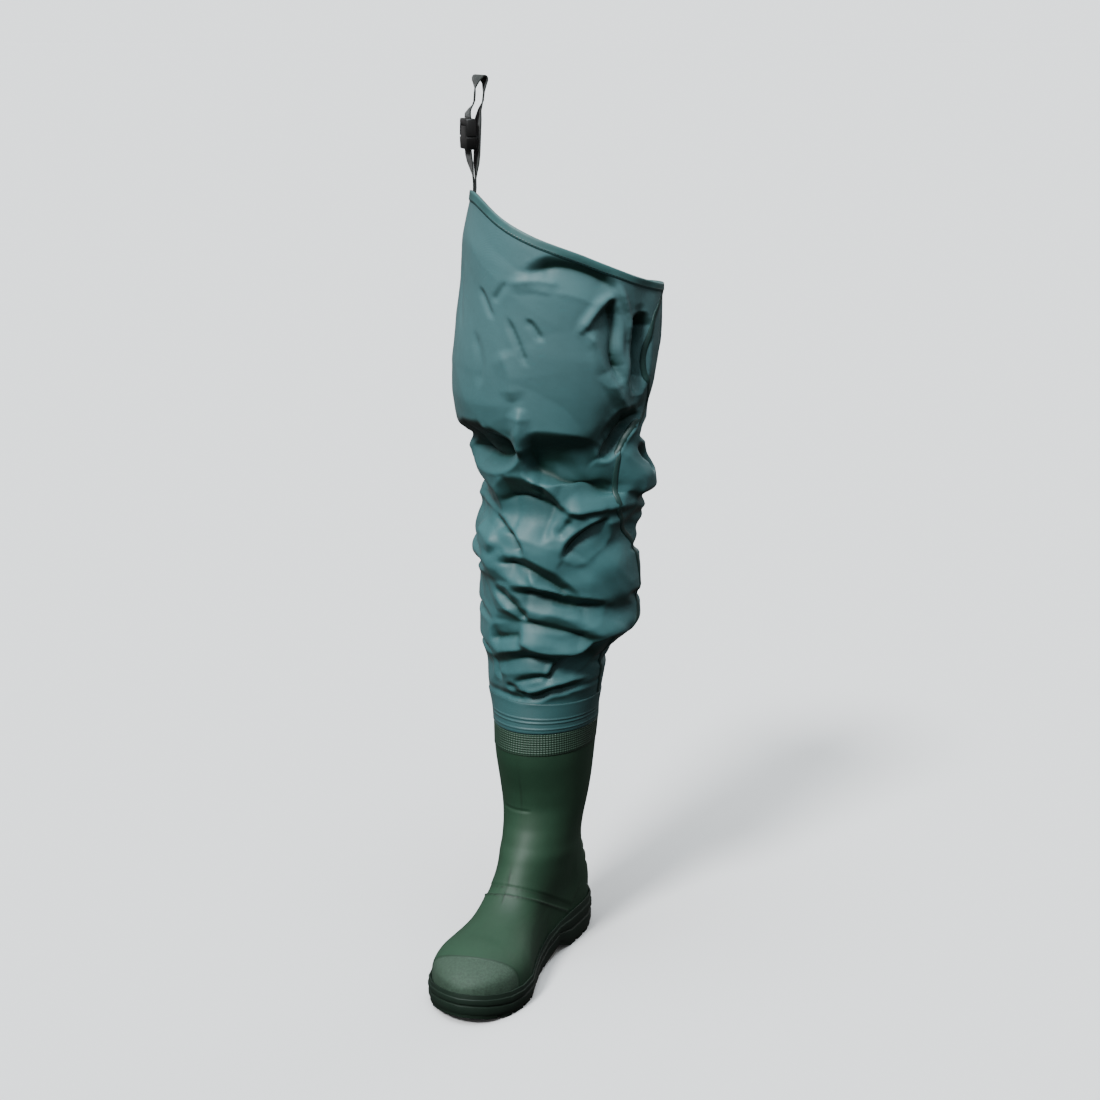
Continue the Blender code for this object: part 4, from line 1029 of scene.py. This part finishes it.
# Suns: name, where from, what they point at, softness in degrees, strength and colour
SUNS = (
    ("key", (-1.1, -1.8, 2.6), (0, 0, 0.5), 12, 4.2, (0.97, 0.99, 1.0)),
    ("sky", (-0.2, -0.5, 3.0), (0, 0, 0.4), 45, 3.0, (0.86, 0.95, 1.0)),
    ("rim", (1.6, 2.2, 2.0), (0, 0, 0.6), 30, 0.5, (1.0, 1.0, 1.0)),
)
# The room's light from straight down at 0 to straight up at 1, and its share on the floor
ROOM = ((0.0, 0.07), (0.46, 0.10), (0.52, 0.30), (0.70, 0.30), (1.0, 0.60))
ROOM_LIGHT = 0.44
FLOOR_GREY = 0.80
FLOOR_RADIUS = 60


def camera():
    """The camera before the wader, looking a little down at it."""
    spot = Vector((AXIS.x + VIEW_ASIDE, AXIS.y - VIEW_DISTANCE, VIEW_HEIGHT))
    aim = Vector((AXIS.x + VIEW_ASIDE, AXIS.y, AIM_HEIGHT))
    bpy.ops.object.camera_add(location=spot, rotation=(aim - spot).to_track_quat("-Z", "Y").to_euler())
    made = bpy.context.object
    made.data.lens = LENS
    made.data.sensor_width = SENSOR
    bpy.context.scene.camera = made


def sun(name, spot, aim, softness, strength, colour):
    """An even light over the whole floor, with shadows as soft as its angle is wide.

    Returns how brightly it lights the floor, as a colour.
    """
    bpy.ops.object.light_add(type="SUN", location=spot)
    made = bpy.context.object
    made.name = name
    made.rotation_euler = (Vector(aim) - Vector(spot)).to_track_quat("-Z", "Y").to_euler()
    made.data.angle = math.radians(softness)
    made.data.energy = strength
    made.data.color = colour
    drop = (Vector(spot) - Vector(aim)).normalized().z
    return np.array(colour) * strength * max(drop, 0) / math.pi


def studio():
    """A pale floor under a room that looks as bright as the floor, so that no horizon shows.

    The floor takes shadows and gives no bounce light.
    """
    lit = sum(sun(*row) for row in SUNS)
    bpy.ops.mesh.primitive_circle_add(vertices=96, radius=FLOOR_RADIUS, fill_type="NGON", location=(0, 0, 0))
    floor = bpy.context.object
    floor.name = "floor"
    paint = Finish("floor_paint", (FLOOR_GREY, FLOOR_GREY, FLOOR_GREY), 1.0)
    paint.set(Specular_IOR_Level=0.0)
    floor.data.materials.append(paint.made)
    floor.visible_diffuse = False
    floor.visible_glossy = False
    far = FLOOR_GREY * (lit + ROOM_LIGHT)
    world = bpy.data.worlds.new("pale_room")
    world.use_nodes = True
    nodes, links = world.node_tree.nodes, world.node_tree.links
    split = nodes.new("ShaderNodeSeparateXYZ")
    links.new(nodes.new("ShaderNodeTexCoord").outputs["Generated"], split.inputs["Vector"])
    upward = nodes.new("ShaderNodeMapRange")
    upward.inputs["From Min"].default_value = -1
    links.new(split.outputs["Z"], upward.inputs["Value"])
    ramp = nodes.new("ShaderNodeValToRGB")
    while len(ramp.color_ramp.elements) < len(ROOM):
        ramp.color_ramp.elements.new(0.5)
    for element, (at, light) in zip(ramp.color_ramp.elements, ROOM):
        element.position = at
        element.color = (light, light, light, 1)
    links.new(upward.outputs["Result"], ramp.inputs["Fac"])
    seen = nodes.new("ShaderNodeMix")
    seen.data_type = "RGBA"
    links.new(nodes.new("ShaderNodeLightPath").outputs["Is Camera Ray"], seen.inputs["Factor"])
    links.new(ramp.outputs["Color"], seen.inputs["A"])
    seen.inputs["B"].default_value = (*far, 1)
    links.new(seen.outputs["Result"], nodes["Background"].inputs["Color"])
    nodes["Background"].inputs["Strength"].default_value = 1
    bpy.context.scene.world = world


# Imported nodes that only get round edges: node, piece, slot, finish, width of the rounding in metres
# and the angle in degrees from which an edge is rounded
ROUNDED = (
    ("outsole", "ribbed_sole", "sole", "sole", 0.0004, 35),
    ("insole", "foot_bed", "foam", "fleece", 0.0006, 50),
    ("belt_strap", "long_webbing", "webbing", "webbing", 0.0004, 50),
    ("strap_short", "short_webbing", "webbing", "webbing", 0.0004, 50),
    ("buckle_socket", "socket", "plastic", "plastic", 0.0003, 50),
    ("buckle_plug", "plug", "plastic", "plastic", 0.0003, 50),
)


def main():
    skins = finishes()
    rows = main_leg(skins)
    inner_seam(rows, skins["seam"])
    boot_shell(skins)
    for node, piece, slot, skin, edge, angle in ROUNDED:
        refined(node, piece, skins[skin], edge, angle)
    camera()
    studio()


main()
